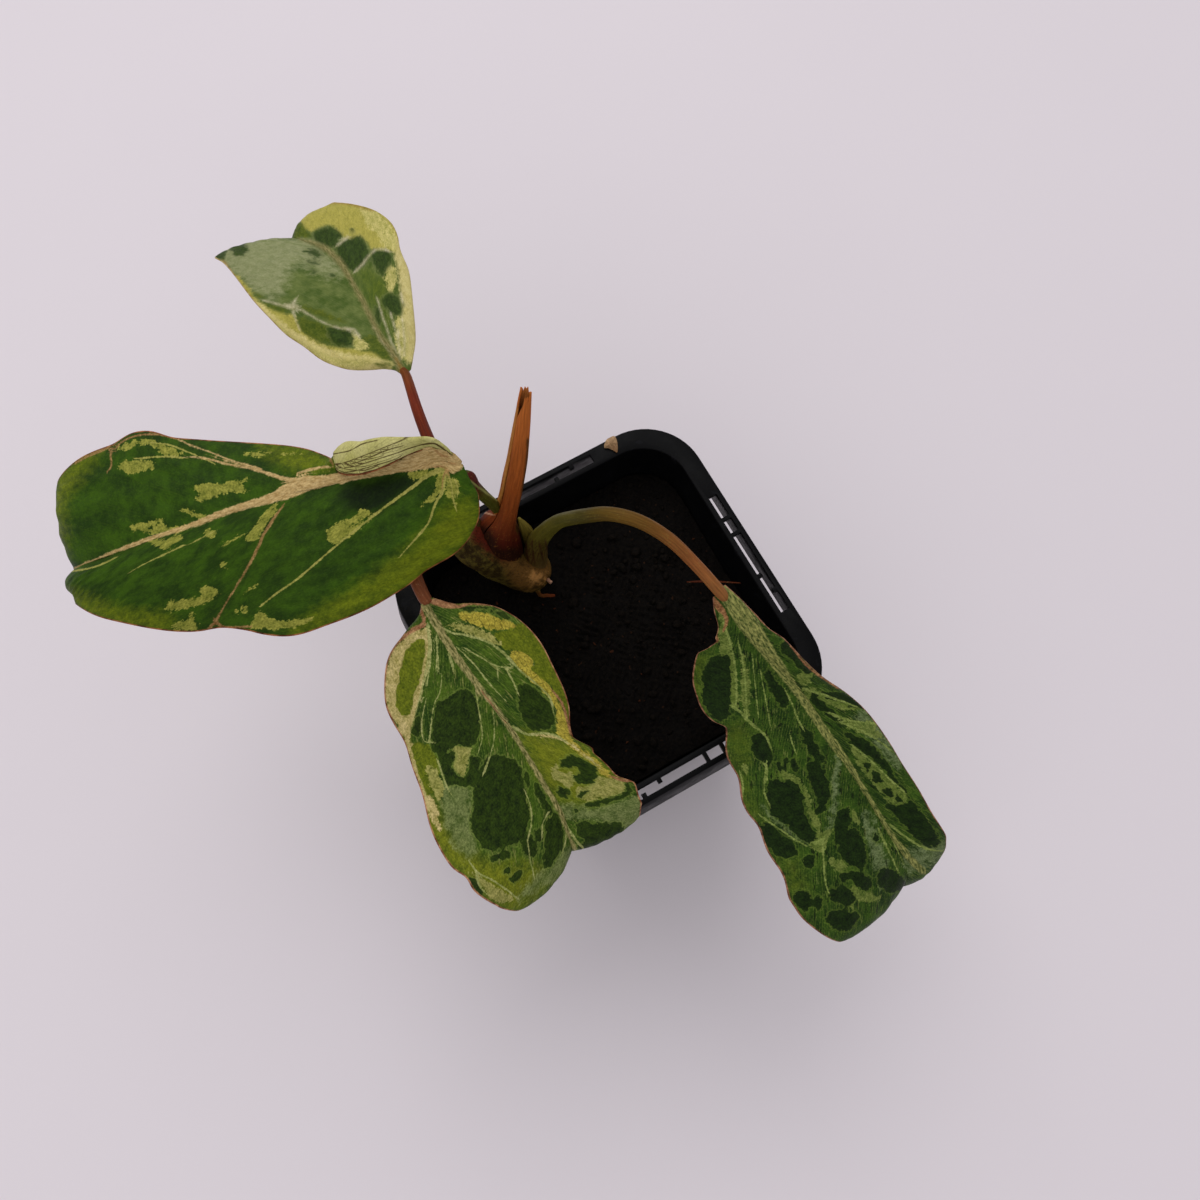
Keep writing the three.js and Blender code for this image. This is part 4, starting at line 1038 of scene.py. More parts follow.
rightMarks = {
    # painted light: small softly lighter patches
    "paintedLight": {"patches": [
        [740, 770, 748, 800, 760, 815, 745, 815, 738, 795],
        [776, 852, 790, 860, 806, 890, 792, 892, 786, 870],
        [728, 730, 740, 725, 748, 740, 745, 765, 735, 762],
        [694, 660, 706, 655, 702, 680, 710, 705, 700, 700, 693, 680],
    ]},
    # silvery marbling, partly a painted reflection of the sky, as on the lower right of this blade
    "silverAndSheen": {"patches": [
        [858, 710, 872, 714, 894, 748, 902, 764, 894, 766, 874, 742, 862, 733, 857, 722],
        [905, 852, 946, 840, 948, 852, 930, 862, 915, 872, 905, 866],
        [866, 812, 874, 826, 886, 868, 882, 888, 876, 872, 864, 826],
    ], "lines": [
        [764, 808, 1.8, 776, 818, 2.4, 800, 837, 2, 812, 843, 1],
        [838, 758, 2.2, 834, 778, 2, 834, 800, 1.8, 832, 820, 2, 826, 834, 1.8],
    ]},
    "lime": {"patches": [
        [800, 690, 815, 688, 845, 702, 858, 708, 846, 710, 828, 704, 812, 700],
        [836, 716, 858, 721, 880, 722, 872, 728, 884, 738, 866, 735, 850, 728],
        [778, 768, 798, 778, 806, 790, 812, 808, 820, 822, 818, 832, 810, 820, 804, 800, 796, 784,
         784, 780],
        [798, 672, 812, 672, 808, 682, 800, 684],
        [852, 808, 861, 826, 857, 826, 851, 814],
        [808, 838, 820, 832, 834, 828, 826, 840, 822, 850, 812, 848],
        [852, 745, 866, 758, 880, 768, 894, 784, 906, 794, 905, 803, 893, 806, 878, 788, 858, 764],
        [742, 765, 748, 766, 749, 772, 744, 772],
        [852, 884, 866, 892, 880, 896, 870, 902, 856, 900, 852, 912, 848, 900],
        [838, 858, 846, 866, 842, 874, 828, 860],
        [720, 610, 730, 640, 736, 680, 738, 706, 732, 706, 726, 680, 720, 650],
        [742, 650, 750, 690, 748, 720, 742, 700],
    ]},
    "gloom": {"patches": [
        [718, 655, 728, 655, 731, 670, 730, 710, 722, 720, 712, 716, 704, 705, 702, 690, 704, 672,
         710, 660],
        [765, 672, 770, 668, 776, 680, 785, 690, 788, 700, 784, 706, 779, 705, 768, 685],
        [752, 738, 756, 731, 765, 736, 772, 755, 769, 765, 763, 765, 752, 748],
        [766, 790, 772, 779, 785, 780, 797, 785, 803, 795, 803, 808, 812, 828, 816, 836, 812, 843,
         800, 838, 786, 825, 770, 812],
        [806, 766, 814, 760, 822, 768, 829, 785, 828, 800, 822, 812, 814, 812, 818, 800, 812, 790],
        [800, 726, 808, 730, 818, 748, 824, 762, 814, 758, 804, 744],
        [790, 760, 794, 757, 798, 762, 796, 770, 791, 767],
        [783, 761, 787, 758, 788, 764, 786, 770, 783, 767],
        [776, 763, 781, 761, 781, 775, 777, 771],
        [835, 844, 834, 828, 838, 812, 845, 809, 850, 812, 845, 824, 842, 838],
        [752, 828, 764, 824, 774, 832, 790, 842, 793, 856, 782, 858, 768, 846],
        [812, 692, 822, 700, 834, 712, 845, 720, 838, 722, 814, 704],
        [820, 692, 838, 693, 856, 699, 866, 708, 856, 708, 828, 698],
        [785, 640, 792, 644, 802, 658, 812, 672, 803, 672, 790, 660, 780, 648],
        [845, 732, 862, 738, 878, 752, 908, 795, 924, 815, 936, 834, 938, 845, 926, 845, 912, 836,
         898, 818, 886, 806, 892, 803, 906, 803, 906, 794, 890, 778, 878, 764, 850, 742],
        [883, 789, 888, 787, 893, 792, 891, 798, 885, 795],
        [896, 793, 901, 796, 901, 801, 896, 800],
        [872, 772, 878, 774, 883, 781, 880, 784, 873, 779],
        [862, 762, 867, 762, 870, 768, 866, 771],
        [828, 892, 838, 886, 850, 890, 855, 897, 850, 905, 832, 900],
        [838, 876, 843, 871, 849, 874, 848, 880, 842, 882],
        [838, 836, 848, 828, 858, 832, 864, 845, 866, 860, 860, 868, 850, 866, 842, 858, 838, 848],
        [850, 872, 862, 872, 871, 882, 868, 890, 858, 888, 851, 880],
        [874, 833, 878, 838, 876, 843, 872, 838],
        [842, 812, 848, 808, 850, 818, 846, 830, 841, 832, 842, 822],
        [794, 892, 806, 890, 812, 900, 808, 910, 800, 908, 794, 900],
        [815, 896, 822, 898, 820, 908, 815, 906],
        [804, 858, 812, 855, 816, 862, 810, 868, 804, 866],
        [764, 824, 772, 824, 780, 834, 792, 842, 797, 852, 790, 856, 780, 850, 770, 838],
        [876, 872, 888, 868, 900, 876, 906, 886, 892, 892, 880, 886],
        [826, 912, 845, 910, 858, 916, 852, 926, 838, 930, 828, 922],
    ]},
    "vein": {"lines": [
        [813, 842, 1.2, 819, 842, 2.4, 824, 836, 1.2],
        [890, 824, 1.2, 908, 838, 1, 926, 848, 1, 940, 850, 0.6],
        [890, 836, 1, 902, 862, 0.6],
        [762, 762, 0.6, 767, 768, 0.8, 766, 782, 0.8],
        [724, 622, 1.2, 731, 645, 1, 736, 675, 1, 736, 706, 0.9],
        [738, 640, 0.8, 744, 670, 0.9, 747, 718, 0.8],
        [732, 706, 1.2, 741, 712, 1.4, 749, 721, 1.5, 765, 735, 1, 771, 748, 0.8],
        [752, 655, 0.5, 758, 715, 0.4],
        [760, 670, 0.5, 770, 725, 0.5],
        [785, 690, 0.6, 792, 705, 0.8, 796, 716, 1, 803, 729, 0.7],
        [790, 736, 0.8, 795, 752, 0.5],
        [822, 846, 1.2, 825, 880, 0.8, 828, 892, 0.6],
        [878, 830, 1.4, 898, 872, 0.6],
        [806, 688, 1.2, 856, 707, 0.7],
        [828, 712, 1.2, 848, 720, 1.2, 868, 723, 1.2, 882, 722, 0.8],
        [840, 722, 1, 860, 730, 0.9, 880, 742, 0.8, 892, 752, 0.6],
        [852, 745, 0.8, 870, 760, 0.8, 886, 776, 0.7, 904, 792, 0.8],
        [740, 772, 1, 743, 785, 0.9, 742, 798, 0.8],
        [766, 762, 0.7, 764, 790, 0.8, 770, 806, 0.7],
        [738, 590, 0.7, 758, 622, 0.6],
        [760, 815, 1, 790, 836, 0.7, 805, 845, 0.8],
    ]},
    "rib": {"lines": [
        [722, 588, 6, 732, 602, 8, 742, 616, 9, 752, 630, 8.5, 765, 648, 7, 780, 668, 5.5, 795, 688, 4.6,
         810, 710, 4.4, 825, 732, 4.6, 838, 750, 4.4, 850, 767, 3.4, 862, 786, 2.8, 874, 806, 2.6,
         885, 824, 2.6, 897, 842, 3, 912, 860, 3.4, 922, 870, 3],
    ]},
    "rust": {"lines": [
        [706, 590, 1.6, 718, 605, 3.2, 724, 612, 2.4],
        [724, 612, 2, 727, 620, 1.6, 724, 630, 1],
        [790, 646, 0.6, 800, 659, 1, 812, 671, 1.3, 838, 689, 0.9],
        [732, 588, 0.6, 758, 618, 0.8, 768, 627, 0.9],
        [716, 634, 1, 718, 641, 0.9, 706, 643, 0.8, 698, 650, 0.8],
    ]},
}
rightLeaf = {
    "stations": [
        [[17.3, -11.2, 99.8], [16, -12, 100], [14.6, -12, 99.4]],
        [[18.6, -14, 98.8], [16.4, -14, 99], [14, -13.8, 97.4]],
        [[20, -17, 97], [16.8, -17, 97.5], [13.4, -16.6, 95]],
        [[21.2, -20.4, 95], [17.5, -20, 95.5], [11.2, -18, 92]],
        [[23, -23.5, 92.5], [18.5, -23, 93], [8, -18.8, 89.5]],
        [[25, -28, 89], [20, -26, 90.5], [5.8, -21.4, 87]],
        [[27.8, -33, 85.5], [21.5, -29.5, 88], [5, -25, 85.5]],
        [[31, -37.5, 82], [23, -33.5, 85], [6, -29.5, 83.5]],
        [[33.4, -42.4, 79], [24, -38, 82], [7.4, -32.4, 82]],
        [[34.6, -48, 76], [24.4, -43, 79], [5.6, -36.4, 80]],
        [[35.6, -53, 73.5], [25, -47.8, 76], [4.6, -43, 77]],
        [[36.2, -58.6, 71], [25.8, -52.6, 73], [5, -49, 74]],
        [[36.8, -63.6, 68.5], [26.5, -57.6, 70], [5.2, -55.6, 71.5]],
        [[37.2, -68, 65.5], [27.2, -63, 67], [4.2, -62, 69]],
        [[36.6, -71, 62], [28, -68, 63.5], [4.6, -68.4, 66]],
        [[34, -72.6, 58], [27.5, -72.4, 58.5], [9.2, -75.6, 60.5]],
        [[31.5, -72.4, 52], [26, -73, 51], [15, -74.6, 52.5]],
        [[28, -70.5, 46], [24.5, -71, 45], [20, -71.6, 46]],
        [[24.6, -67.4, 41], [24, -67.4, 40.8], [23.4, -67.6, 41]],
    ],
    "camber": [1.4, 1.8],
    "wave": 0.7,
    "waves": 5,
    "ribDepth": 0.9,
    "outline": [
        716, 588, 719, 603, 724, 612, 727, 622, 723, 634, 717, 643, 704, 645, 697, 656, 693, 678,
        697, 696, 704, 712, 716, 723, 726, 727, 726, 750, 731, 765, 739, 777, 742, 800, 750, 816,
        759, 826, 768, 852, 784, 876, 791, 906, 803, 914, 821, 932, 839, 938, 858, 932, 872, 916,
        887, 902, 917, 873, 939, 856, 947, 845, 945, 834, 931, 812, 917, 787, 902, 764, 887, 739,
        865, 710, 843, 691, 821, 676, 802, 658, 784, 639, 769, 629, 755, 614, 739, 598, 728, 587,
    ],
    "traced": ((0.08, 0.74), (0.08, 0.74)),
    "marks": rightMarks,
    "looks": {
        "gloss": 0.06,
        "ground": ("#1a300c", "#344e14"),
        "wear": 0.3,
        "granules": 0.24,
        "granuleTone": "#5e7028",
        "sideVeins": 0.5,
        "fineVeins": 0.55,
        "islands": 0.85,
        "islandTone": "#101c08",
        "dots": 0.4,
        "rimGlow": 0.35,
        # tones of the painted light
        "paintedLight": ("#3e5212", "#56641a", 0.8),
        # tones of the silvery marbling and painted sheen
        "silverAndSheen": ("#44542a", "#78845a", 0.75),
        "lime": ("#42561a", "#76803e", 0.9),
        "gloom": ("#0c1807", "#1e300c", 1.0),
        "vein": ("#5c6c2c", "#8c9850", 0.85),
        "rib": ("#34441a", "#989654", 0.95),
        "rust": ("#6c3e26", "#a87850", 0.85),
        "net": 0.16,
        "netTone": "#14220a",
        "margin": "#583422",
        "marginPale": "#a47458",
        "marginWidth": 0.15,
        "underside": ("#6c7444", "#7f8656"),
        "underVein": "#3f4a20",
    },
}

backMarks = {
    # painted light: a softly lighter green patch right of the midrib
    "paintedLight": {"patches": [[360, 270, 376, 275, 392, 275, 392, 320, 396, 345, 372, 305]]},
    # painted sheen, not shade: a pale grey-green reflection of the sky over the blade, partly its own silvery
    # tone
    "shade": {"patches": [
        [214, 258, 222, 240, 250, 238, 290, 238, 316, 242, 322, 252, 294, 268, 274, 298, 232, 276],
        [286, 240, 312, 243, 340, 270, 330, 276, 312, 268, 296, 262],
    ]},
    "gold": {"patches": [
        [300, 214, 318, 200, 345, 199, 378, 207, 396, 222, 403, 245, 403, 254, 384, 251, 372, 250,
         362, 238, 346, 240, 330, 226, 312, 232, 304, 228],
        [262, 304, 282, 313, 296, 318, 302, 330, 312, 338, 330, 346, 372, 352, 386, 360, 392, 366,
         370, 375, 340, 372, 305, 354, 250, 308, 232, 280, 238, 276, 250, 290],
    ]},
    "cream": {"patches": [
        [246, 298, 268, 322, 298, 346, 330, 364, 370, 372, 394, 366, 374, 357, 344, 354, 314, 342,
         284, 324, 264, 306],
        [384, 232, 398, 238, 404, 254, 414, 268, 418, 300, 422, 330, 420, 356, 408, 364, 404, 352,
         401, 300, 394, 254],
    ]},
    "lime": {"patches": [
        [396, 318, 404, 322, 408, 345, 406, 362, 400, 356, 396, 340],
        [386, 270, 394, 268, 396, 280, 392, 292, 386, 285],
        [352, 334, 360, 338, 368, 348, 358, 350, 352, 344],
        [362, 208, 384, 218, 394, 234, 397, 250, 386, 249, 378, 236, 366, 224],
        [268, 316, 286, 330, 306, 344, 336, 358, 372, 360, 360, 368, 334, 364, 304, 350, 276, 330],
    ]},
    "moss": {"patches": [
        [288, 239, 300, 223, 306, 230, 314, 238, 302, 238],
        [300, 318, 310, 320, 326, 326, 340, 329, 352, 330, 353, 340, 356, 347, 330, 345, 307, 334,
         301, 327],
        [266, 303, 288, 309, 291, 312, 280, 312, 270, 308],
        [302, 307, 316, 309, 345, 322, 335, 322, 318, 316, 304, 311],
        [358, 340, 376, 336, 386, 346, 392, 358, 384, 360, 372, 352, 360, 350],
        [254, 294, 260, 295, 266, 299, 258, 298],
        [374, 363, 386, 363, 392, 366, 380, 366],
    ]},
    "gloom": {"patches": [
        [313, 238, 318, 231, 328, 228, 338, 231, 343, 237, 337, 242, 338, 247, 330, 248, 321, 245],
        [336, 249, 342, 243, 350, 239, 362, 239, 370, 256, 364, 266, 356, 271, 348, 270, 341, 262],
        [371, 256, 375, 251, 391, 254, 386, 272, 382, 275, 375, 267],
        [229, 246, 236, 241, 244, 243, 249, 250, 244, 256, 234, 255],
        [213, 256, 222, 248, 227, 251, 224, 260, 216, 260],
        [391, 294, 400, 302, 402, 312, 394, 316, 382, 303],
        [376, 308, 381, 312, 380, 325, 376, 320],
        [329, 328, 342, 330, 352, 331, 353, 346, 341, 346, 331, 340],
        [304, 252, 312, 250, 323, 257, 314, 257],
        [308, 262, 315, 261, 320, 263, 312, 265],
        [311, 270, 317, 271, 314, 273],
        [330, 275, 336, 276, 333, 278],
        [351, 230, 354, 231, 352, 234],
    ]},
    "vein": {"lines": [
        [264, 301, 0.1, 286, 307, 1, 292, 308, 2.2, 300, 310, 0.8, 320, 321, 0.2, 334, 327, 0.2,
         350, 331, 1, 356, 336, 0.6],
        [292, 307, 1.6, 297, 299, 0.2],
        [293, 309, 1.2, 296, 319, 0.3, 300, 330, 0.1],
        [345, 329, 0.9, 354, 331, 1.4, 360, 338, 1],
        [286, 305, 1, 292, 307, 2, 298, 307, 1.2],
        [356, 272, 0.6, 362, 266, 0.7, 370, 256, 0.6, 378, 250, 0.7, 390, 252, 0.8],
        [401, 294, 0.7, 402, 302, 0.8],
        [402, 320, 0.6, 404, 340, 0.7, 404, 356, 0.6],
        [398, 330, 0.5, 400, 360, 0.4],
        [343, 240, 0.8, 348, 238, 0.8, 338, 246, 0.6],
        [397, 354, 0.5, 390, 338, 0.6, 377, 298, 0.2],
        [401, 350, 0.5, 391, 314, 0.4],
        [393, 356, 0.4, 382, 342, 0.6, 374, 328, 0.3],
    ]},
    "rib": {"lines": [
        [404, 377, 3, 398, 363, 3.6, 390, 349, 3.4, 380, 336, 3, 371, 318, 2.8, 363, 302, 2.8,
         353, 284, 2.6, 343, 266, 2.8, 330, 252, 2.8, 315, 244, 2, 300, 240, 1],
    ]},
    "rust": {"lines": [
        [396, 360, 0.8, 408, 380, 1.4],
        [318, 204, 0.8, 345, 204, 1, 372, 211, 0.9],
        [225, 263, 1, 236, 280, 1.4, 260, 310, 0.6],
    ]},
}
backLeaf = {
    "stations": [
        [[-12.5, 61, 88.5], [-12, 59, 89], [-10.5, 60, 88.5]],
        [[-15, 63, 88], [-12, 61, 89], [-8, 64, 88]],
        [[-22, 68, 87], [-12.5, 66, 89], [-4, 72.5, 88]],
        [[-27.5, 78, 86], [-12.5, 73.5, 88.5], [-0.5, 85, 87]],
        [[-30.5, 84, 85.5], [-12, 79, 88], [1.5, 91, 86]],
        [[-31.5, 89.5, 85], [-12, 84, 87], [1, 97, 85]],
        [[-32, 96, 84], [-13, 90.5, 85.5], [-1.5, 102, 84]],
        [[-32.5, 102, 83], [-14.5, 97.5, 83.5], [-6, 106, 82.5]],
        [[-34, 108.5, 80.5], [-17.5, 104, 81], [-12, 108.5, 80]],
        [[-29, 110, 75], [-19, 106, 74.5], [-14.5, 107.5, 75]],
        [[-22.5, 106, 69], [-20, 105, 68.5], [-18.5, 105.5, 69]],
        [[-21.6, 102.8, 65], [-21, 102.6, 64.8], [-20.4, 102.8, 65]],
    ],
    "camber": [1.6, 1.2],
    "wave": 0.7,
    "waves": 3,
    "ribDepth": 0.7,
    "outline": [
        408, 372, 395, 367, 380, 369, 355, 370, 340, 367, 322, 360, 305, 347, 287, 335, 272, 320,
        255, 302, 242, 285, 232, 272, 223, 262, 213, 255, 227, 242, 240, 240, 255, 242, 272, 243,
        282, 240, 290, 230, 300, 220, 310, 209, 322, 203, 337, 203, 355, 205, 375, 211, 390, 222,
        397, 235, 400, 250, 405, 262, 409, 272, 411, 287, 413, 307, 415, 330, 415, 345, 411, 365,
    ],
    "traced": ((0.06, 0.72), (0.06, 0.72)),
    "marks": backMarks,
    "looks": {
        "gloss": 0.06,
        "blur": 1.8,
        "ground": ("#42561c", "#66723a"),
        "wear": 0.08,
        "granules": 0.1,
        "granuleTone": "#84885a",
        "sideVeins": 0.2,
        "fineVeins": 0.18,
        "rimGlow": 0.3,
        "goldNet": 0.15,
        # tones of the painted light
        "paintedLight": ("#3c500f", "#5c6a1a", 0.9),
        # tones of the painted sheen, partly the leaf's own silvery tone
        "shade": ("#7e8458", "#94966e", 0.85),
        "gold": ("#989240", "#b0a650", 1.0),
        "cream": ("#c2b46c", "#d6c98a", 0.9),
        "lime": ("#98964a", "#ccc078", 0.9),
        "moss": ("#3a4c10", "#5e6820", 1.0),
        "gloom": ("#1c2c0c", "#384c1a", 0.95),
        "vein": ("#a8a070", "#d8ceb0", 0.75),
        "rib": ("#5e5c2c", "#94885a", 0.9),
        "rust": ("#7c5a24", "#a07c38", 0.8),
        "net": 0.1,
        "netTone": "#4c5420",
        "margin": "#9a8040",
        "marginPale": "#c4b080",
        "marginWidth": 0.08,
        "underside": ("#8c8c58", "#a09c6c"),
        "underVein": "#5c5f30",
    },
}

leaves = {
    "leftLeaf": ("blade_left", "leaf_dark", leftLeaf),
    "frontLeaf": ("blade_front", "leaf_marbled", frontLeaf),
    "rightLeaf": ("blade_right", "leaf_dark", rightLeaf),
    "backLeaf": ("blade_back", "leaf_pale", backLeaf),
}
for pieceName, (nodeName, slotName, leaf) in leaves.items():
    skin = leafSkin(pieceName + "Upper", leaf["looks"], leaf["marks"])
    back = leafBack(pieceName + "Under", leaf["looks"], leaf["marks"])
    makeLeaf(pieceName, nodeName, slotName, leaf, (skin, back))
    print("leaf made:", pieceName)

# Stalks

def frameAlong(points):
    # directions square to a path that don't twist along it
    tangents = np.gradient(points, axis=0)
    tangents /= np.linalg.norm(tangents, axis=1, keepdims=True)
    start = np.cross(tangents[0], [0.3, 0.9, 0.2])
    normals = [start / np.linalg.norm(start)]
    for tangent in tangents[1:]:
        turned = normals[-1] - tangent * (normals[-1] @ tangent)
        normals.append(turned / np.linalg.norm(turned))
    normals = np.array(normals)
    return tangents, normals, np.cross(tangents, normals)


def roundAbout(points, normals, binormals, reach, angle):
    # rings of skin round a path
    wide, deep = (reach * turn(angle) for turn in (np.cos, np.sin))
    return points[:, None] + normals[:, None] * wide[..., None] + binormals[:, None] * deep[..., None]


stalkBuild = {"rings": 110, "sides": 28, "roundEnd": 0.35, "grooveWidth": 0.5}


def makeStalk(name, node, slot, stalk, material):
    rings, sides = stalk.get("rings", stalkBuild["rings"]), stalk.get("sides", stalkBuild["sides"])
    route = evenlyAlong(stalk["path"], rings)
    points, radii = route[:, :3], route[:, 3]
    tangents, normals, binormals = frameAlong(points)
    angle = np.linspace(0, 2 * math.pi, sides, endpoint=False)
    t = np.linspace(0, 1, rings)[:, None]
    groove = 1 - stalk.get("groove", 0) * np.exp(-((angle - math.pi) / stalkBuild["grooveWidth"]) ** 2)
    lumps = 1 + stalk.get("rough", 0) * (np.sin(29.8 * t + 1.3 * np.sin(angle)) + np.sin(3 * angle + 11 * t))
    reach = radii[:, None] * groove * lumps
    skin = roundAbout(points, normals, binormals, reach, angle)
    ends = [points[0] - tangents[0] * radii[0] * stalkBuild["roundEnd"],
            points[-1] + tangents[-1] * radii[-1] * stalkBuild["roundEnd"]]
    vertices = np.concatenate([skin.reshape(-1, 3), ends])
    piece = makeMesh(name, vertices, loftFaces(rings, sides) + capFaces(rings, sides))
    length = lengthAlong(points)
    wide, deep = (np.tile(turn(angle) * np.mean(radii), rings) for turn in (np.cos, np.sin))
    place = np.stack([wide, np.repeat(length, sides), deep], -1)
    place = np.concatenate([place, [[0, 0, 0], [0, length[-1], 0]]])
    addValues(piece, "place", place)
    addValues(piece, "along", np.concatenate([np.repeat(t[:, 0], sides), [0, 1]]))
    addMarks(piece, vertices, stalk.get("marks", {}))
    return keep(piece, node, slot, material)


def stalkSkin(name, tones, stops, rough=0.5, freckleTone="#8c8a58", freckles=0.3, gloss=0.07, marks=()):
    # fleshy stalk: colours change along it, with fine fibres, pale freckles and any painted marks
    material, shader = startMaterial(name, Roughness=rough, Specular_IOR_Level=gloss)
    look = useGroup(fibres, {"Place": readValue("place", "Vector"), "Fineness": 2.6})
    ramp = addNode("ValToRGB", {0: readValue("along")})
    elements = ramp.color_ramp.elements
    while len(elements) < len(tones):
        elements.new(0.5)
    for element, stop, tone in zip(elements, stops, tones):
        element.position = stop
        element.color = paint(tone)
    colour = ramp.outputs[0]
    grain = [spread(look[part], 0.3, 0.7, -1.0, 1.0) for part in ("Clouds", "Fibres", "Freckles")]
    for layer, tone, edges in marks:
        colour = blend(markMask(layer, grain, edges)["Mask"], colour, paint(tone))
    colour = shadeBy(colour, spread(look["Fibres"], 0.35, 0.68, 0.68, 1.24))
    dots = times(spread(look["Freckles"], 0.6, 0.72), freckles)
    colour = blend(dots, colour, paint(freckleTone))
    roughness = spread(look["Clouds"], 0.3, 0.7, rough - 0.08, rough + 0.1)
    finishSkin(shader, colour, look["Fibres"], 0.35, 0.0003, roughness)
    return material


# A path's points are x, y, z and the radius there
backStalk = {
    "path": [(-14, 27.5, 80.5, 1.5), (-14.7, 32, 86, 1.45), (-15, 37.5, 90, 1.35), (-14.5, 43.5, 91.2, 1.2),
             (-13.6, 50, 90.6, 1.1), (-12, 58.5, 89.1, 0.95), (-12, 60.5, 88.9, 0.8)],
    "groove": 0.14,
}
leftStalk = {
    "path": [(-7.8, 26.5, 75, 1.6), (-8.6, 26.7, 83, 1.3), (-9.5, 26.5, 88, 1.15), (-11.2, 25.4, 97, 1.1),
             (-12.8, 24.3, 106, 1.2), (-13.3, 23.9, 109.5, 1.4), (-13.7, 23.9, 111.2, 1.6),
             (-14.2, 24.5, 112, 1.3)],
    "groove": 0.12,
    "marks": {"green": {"patches": [[461, 464, 466, 463, 470, 467, 468, 471, 463, 471]]},
              # painted highlight: a pale line along the stalk
              "stalkHighlight": {"lines": [[470, 481, 1.2, 482, 490, 1.2, 497, 500, 1]]}},
}
frontStalk = {
    "path": [(-18.2, 27, 79, 1.6), (-19, 26.4, 85, 1.5), (-20.5, 25.2, 91.5, 1.4), (-25, 23, 99, 1.35),
             (-28.3, 19.5, 102, 1.3), (-29.2, 16, 102.2, 1.25), (-29.5, 12.7, 101.2, 1.2),
             (-29.4, 11.2, 100.8, 1.1)],
    "groove": 0.12,
}
rightStalk = {
    "path": [(-5.7, 21.4, 56, 2.4), (-5.4, 20.9, 63, 2.7), (-5, 20.4, 70, 2.6), (-4.4, 19.9, 77, 2.15),
             (-3.2, 18.5, 84, 1.75), (-2.1, 16.6, 91, 1.5), (-1, 14.5, 97, 1.32), (1.5, 10.5, 105, 1.3),
             (4.5, 7, 110, 1.25), (8, 3, 111, 1.2), (11.3, -1.5, 108.5, 1.15), (13.8, -6.5, 104.5, 1.1),
             (15.9, -11.6, 100.3, 1.1), (16.4, -13, 99, 1)],
    "groove": 0.12,
    "marks": {"stripes": {"lines": [
        [526, 544, 0.9, 527, 554, 1.4, 529, 564, 0.8],
        [532, 542, 0.8, 533, 553, 1.1, 535, 563, 0.7],
        [539, 542, 0.8, 541, 552, 1.3, 543, 560, 0.8],
        [545, 541, 0.8, 548, 552, 1],
    ]}},
}
redSkin = stalkSkin("backStalkSkin", ("#4a3a1c", "#5c2412", "#6c2814", "#703e18"), (0, 0.3, 0.8, 1),
                    freckleTone="#8a5028")
leftSkin = stalkSkin("leftStalkSkin", ("#3e400f", "#4a4c16", "#4c3a16", "#4a1a12"), (0, 0.7, 0.8, 0.88),
                     freckleTone="#7c8438", freckles=0.5,
                     marks=(("green", "#4c5a22", (1.0, 1.0, 1.0, 1.2)),
                            # the pale line is a painted highlight
                            ("stalkHighlight", "#8a8c4c", (0.3, 0.3, 0.4, 1.0))))
pinkSkin = stalkSkin("frontStalkSkin", ("#4a4420", "#5c3c1c", "#663620", "#6e3e24"), (0, 0.35, 0.7, 1),
                     freckleTone="#9a7a5a")
oliveSkin = stalkSkin("rightStalkSkin", ("#5c4024", "#5a4822", "#5c561c", "#4e4a14", "#443c10", "#644519",
                                         "#88522a", "#8a5a30"), (0, 0.18, 0.32, 0.5, 0.61, 0.75, 0.88, 1),
                      freckleTone="#8a8440", marks=(("stripes", "#3a2010", (0.3, 0.8, 0.6, 1.0)),))
makeStalk("backStalk", "petiole_back", "red_stalk", backStalk, redSkin)
makeStalk("leftStalk", "petiole_left", "green_stalk", leftStalk, leftSkin)
makeStalk("frontStalk", "petiole_front", "red_stalk", frontStalk, pinkSkin)
makeStalk("rightStalk", "petiole_right", "green_stalk", rightStalk, oliveSkin)
print("stalks made")

# Cane

cane = {
    "rings": 130,
    "sides": 56,
    "path": [(-6.4, 20.5, 48, 4.6), (-6.8, 20.4, 57, 4.6), (-7.4, 20.6, 61, 4.75), (-9.5, 21.6, 65.5, 4.9),
             (-11.9, 23, 69.5, 4.9), (-14.1, 24.4, 74, 4.8), (-16.1, 26.1, 78, 4.4), (-17.6, 27.2, 81, 3.4)],
    "rough": 0.02,
    # the pale brown patch on the lower end is partly painted light, and the small patch inside it a painted
    # highlight
    "marks": {
        "red": {"patches": [[470, 505, 472, 535, 479, 546, 490, 554, 500, 561, 513, 562, 521, 545,
                             521, 510]]},
        "litTan": {"patches": [[505, 566, 515, 560, 530, 559, 546, 561, 553, 570, 551, 579, 540, 587, 526, 590,
                             513, 584]]},
        "endHighlight": {"patches": [[529, 576, 537, 572, 545, 574, 540, 582, 531, 582]]},
    },
}
caneRoots = {
    "caneRootNear": {
        "rings": 24, "sides": 14, "rough": 0.05,
        "path": [(-5.1, 18.2, 60, 0.5), (-4.8, 16.6, 61.2, 0.42), (-4.5, 15.6, 61.5, 0.4)],
        "tones": ("#3c2812", "#6c4a30", "#a88068"),
    },
    "caneRootFar": {
        "rings": 30, "sides": 14, "rough": 0.05,
        "path": [(-7.6, 17, 59.5, 0.6), (-7.8, 14.4, 61.3, 0.42), (-6.6, 13.5, 61.5, 0.4),
                 (-5.2, 12.8, 61.2, 0.3)],
        "tones": ("#3c3c14", "#4c2c0e", "#5e2810"),
    },
}


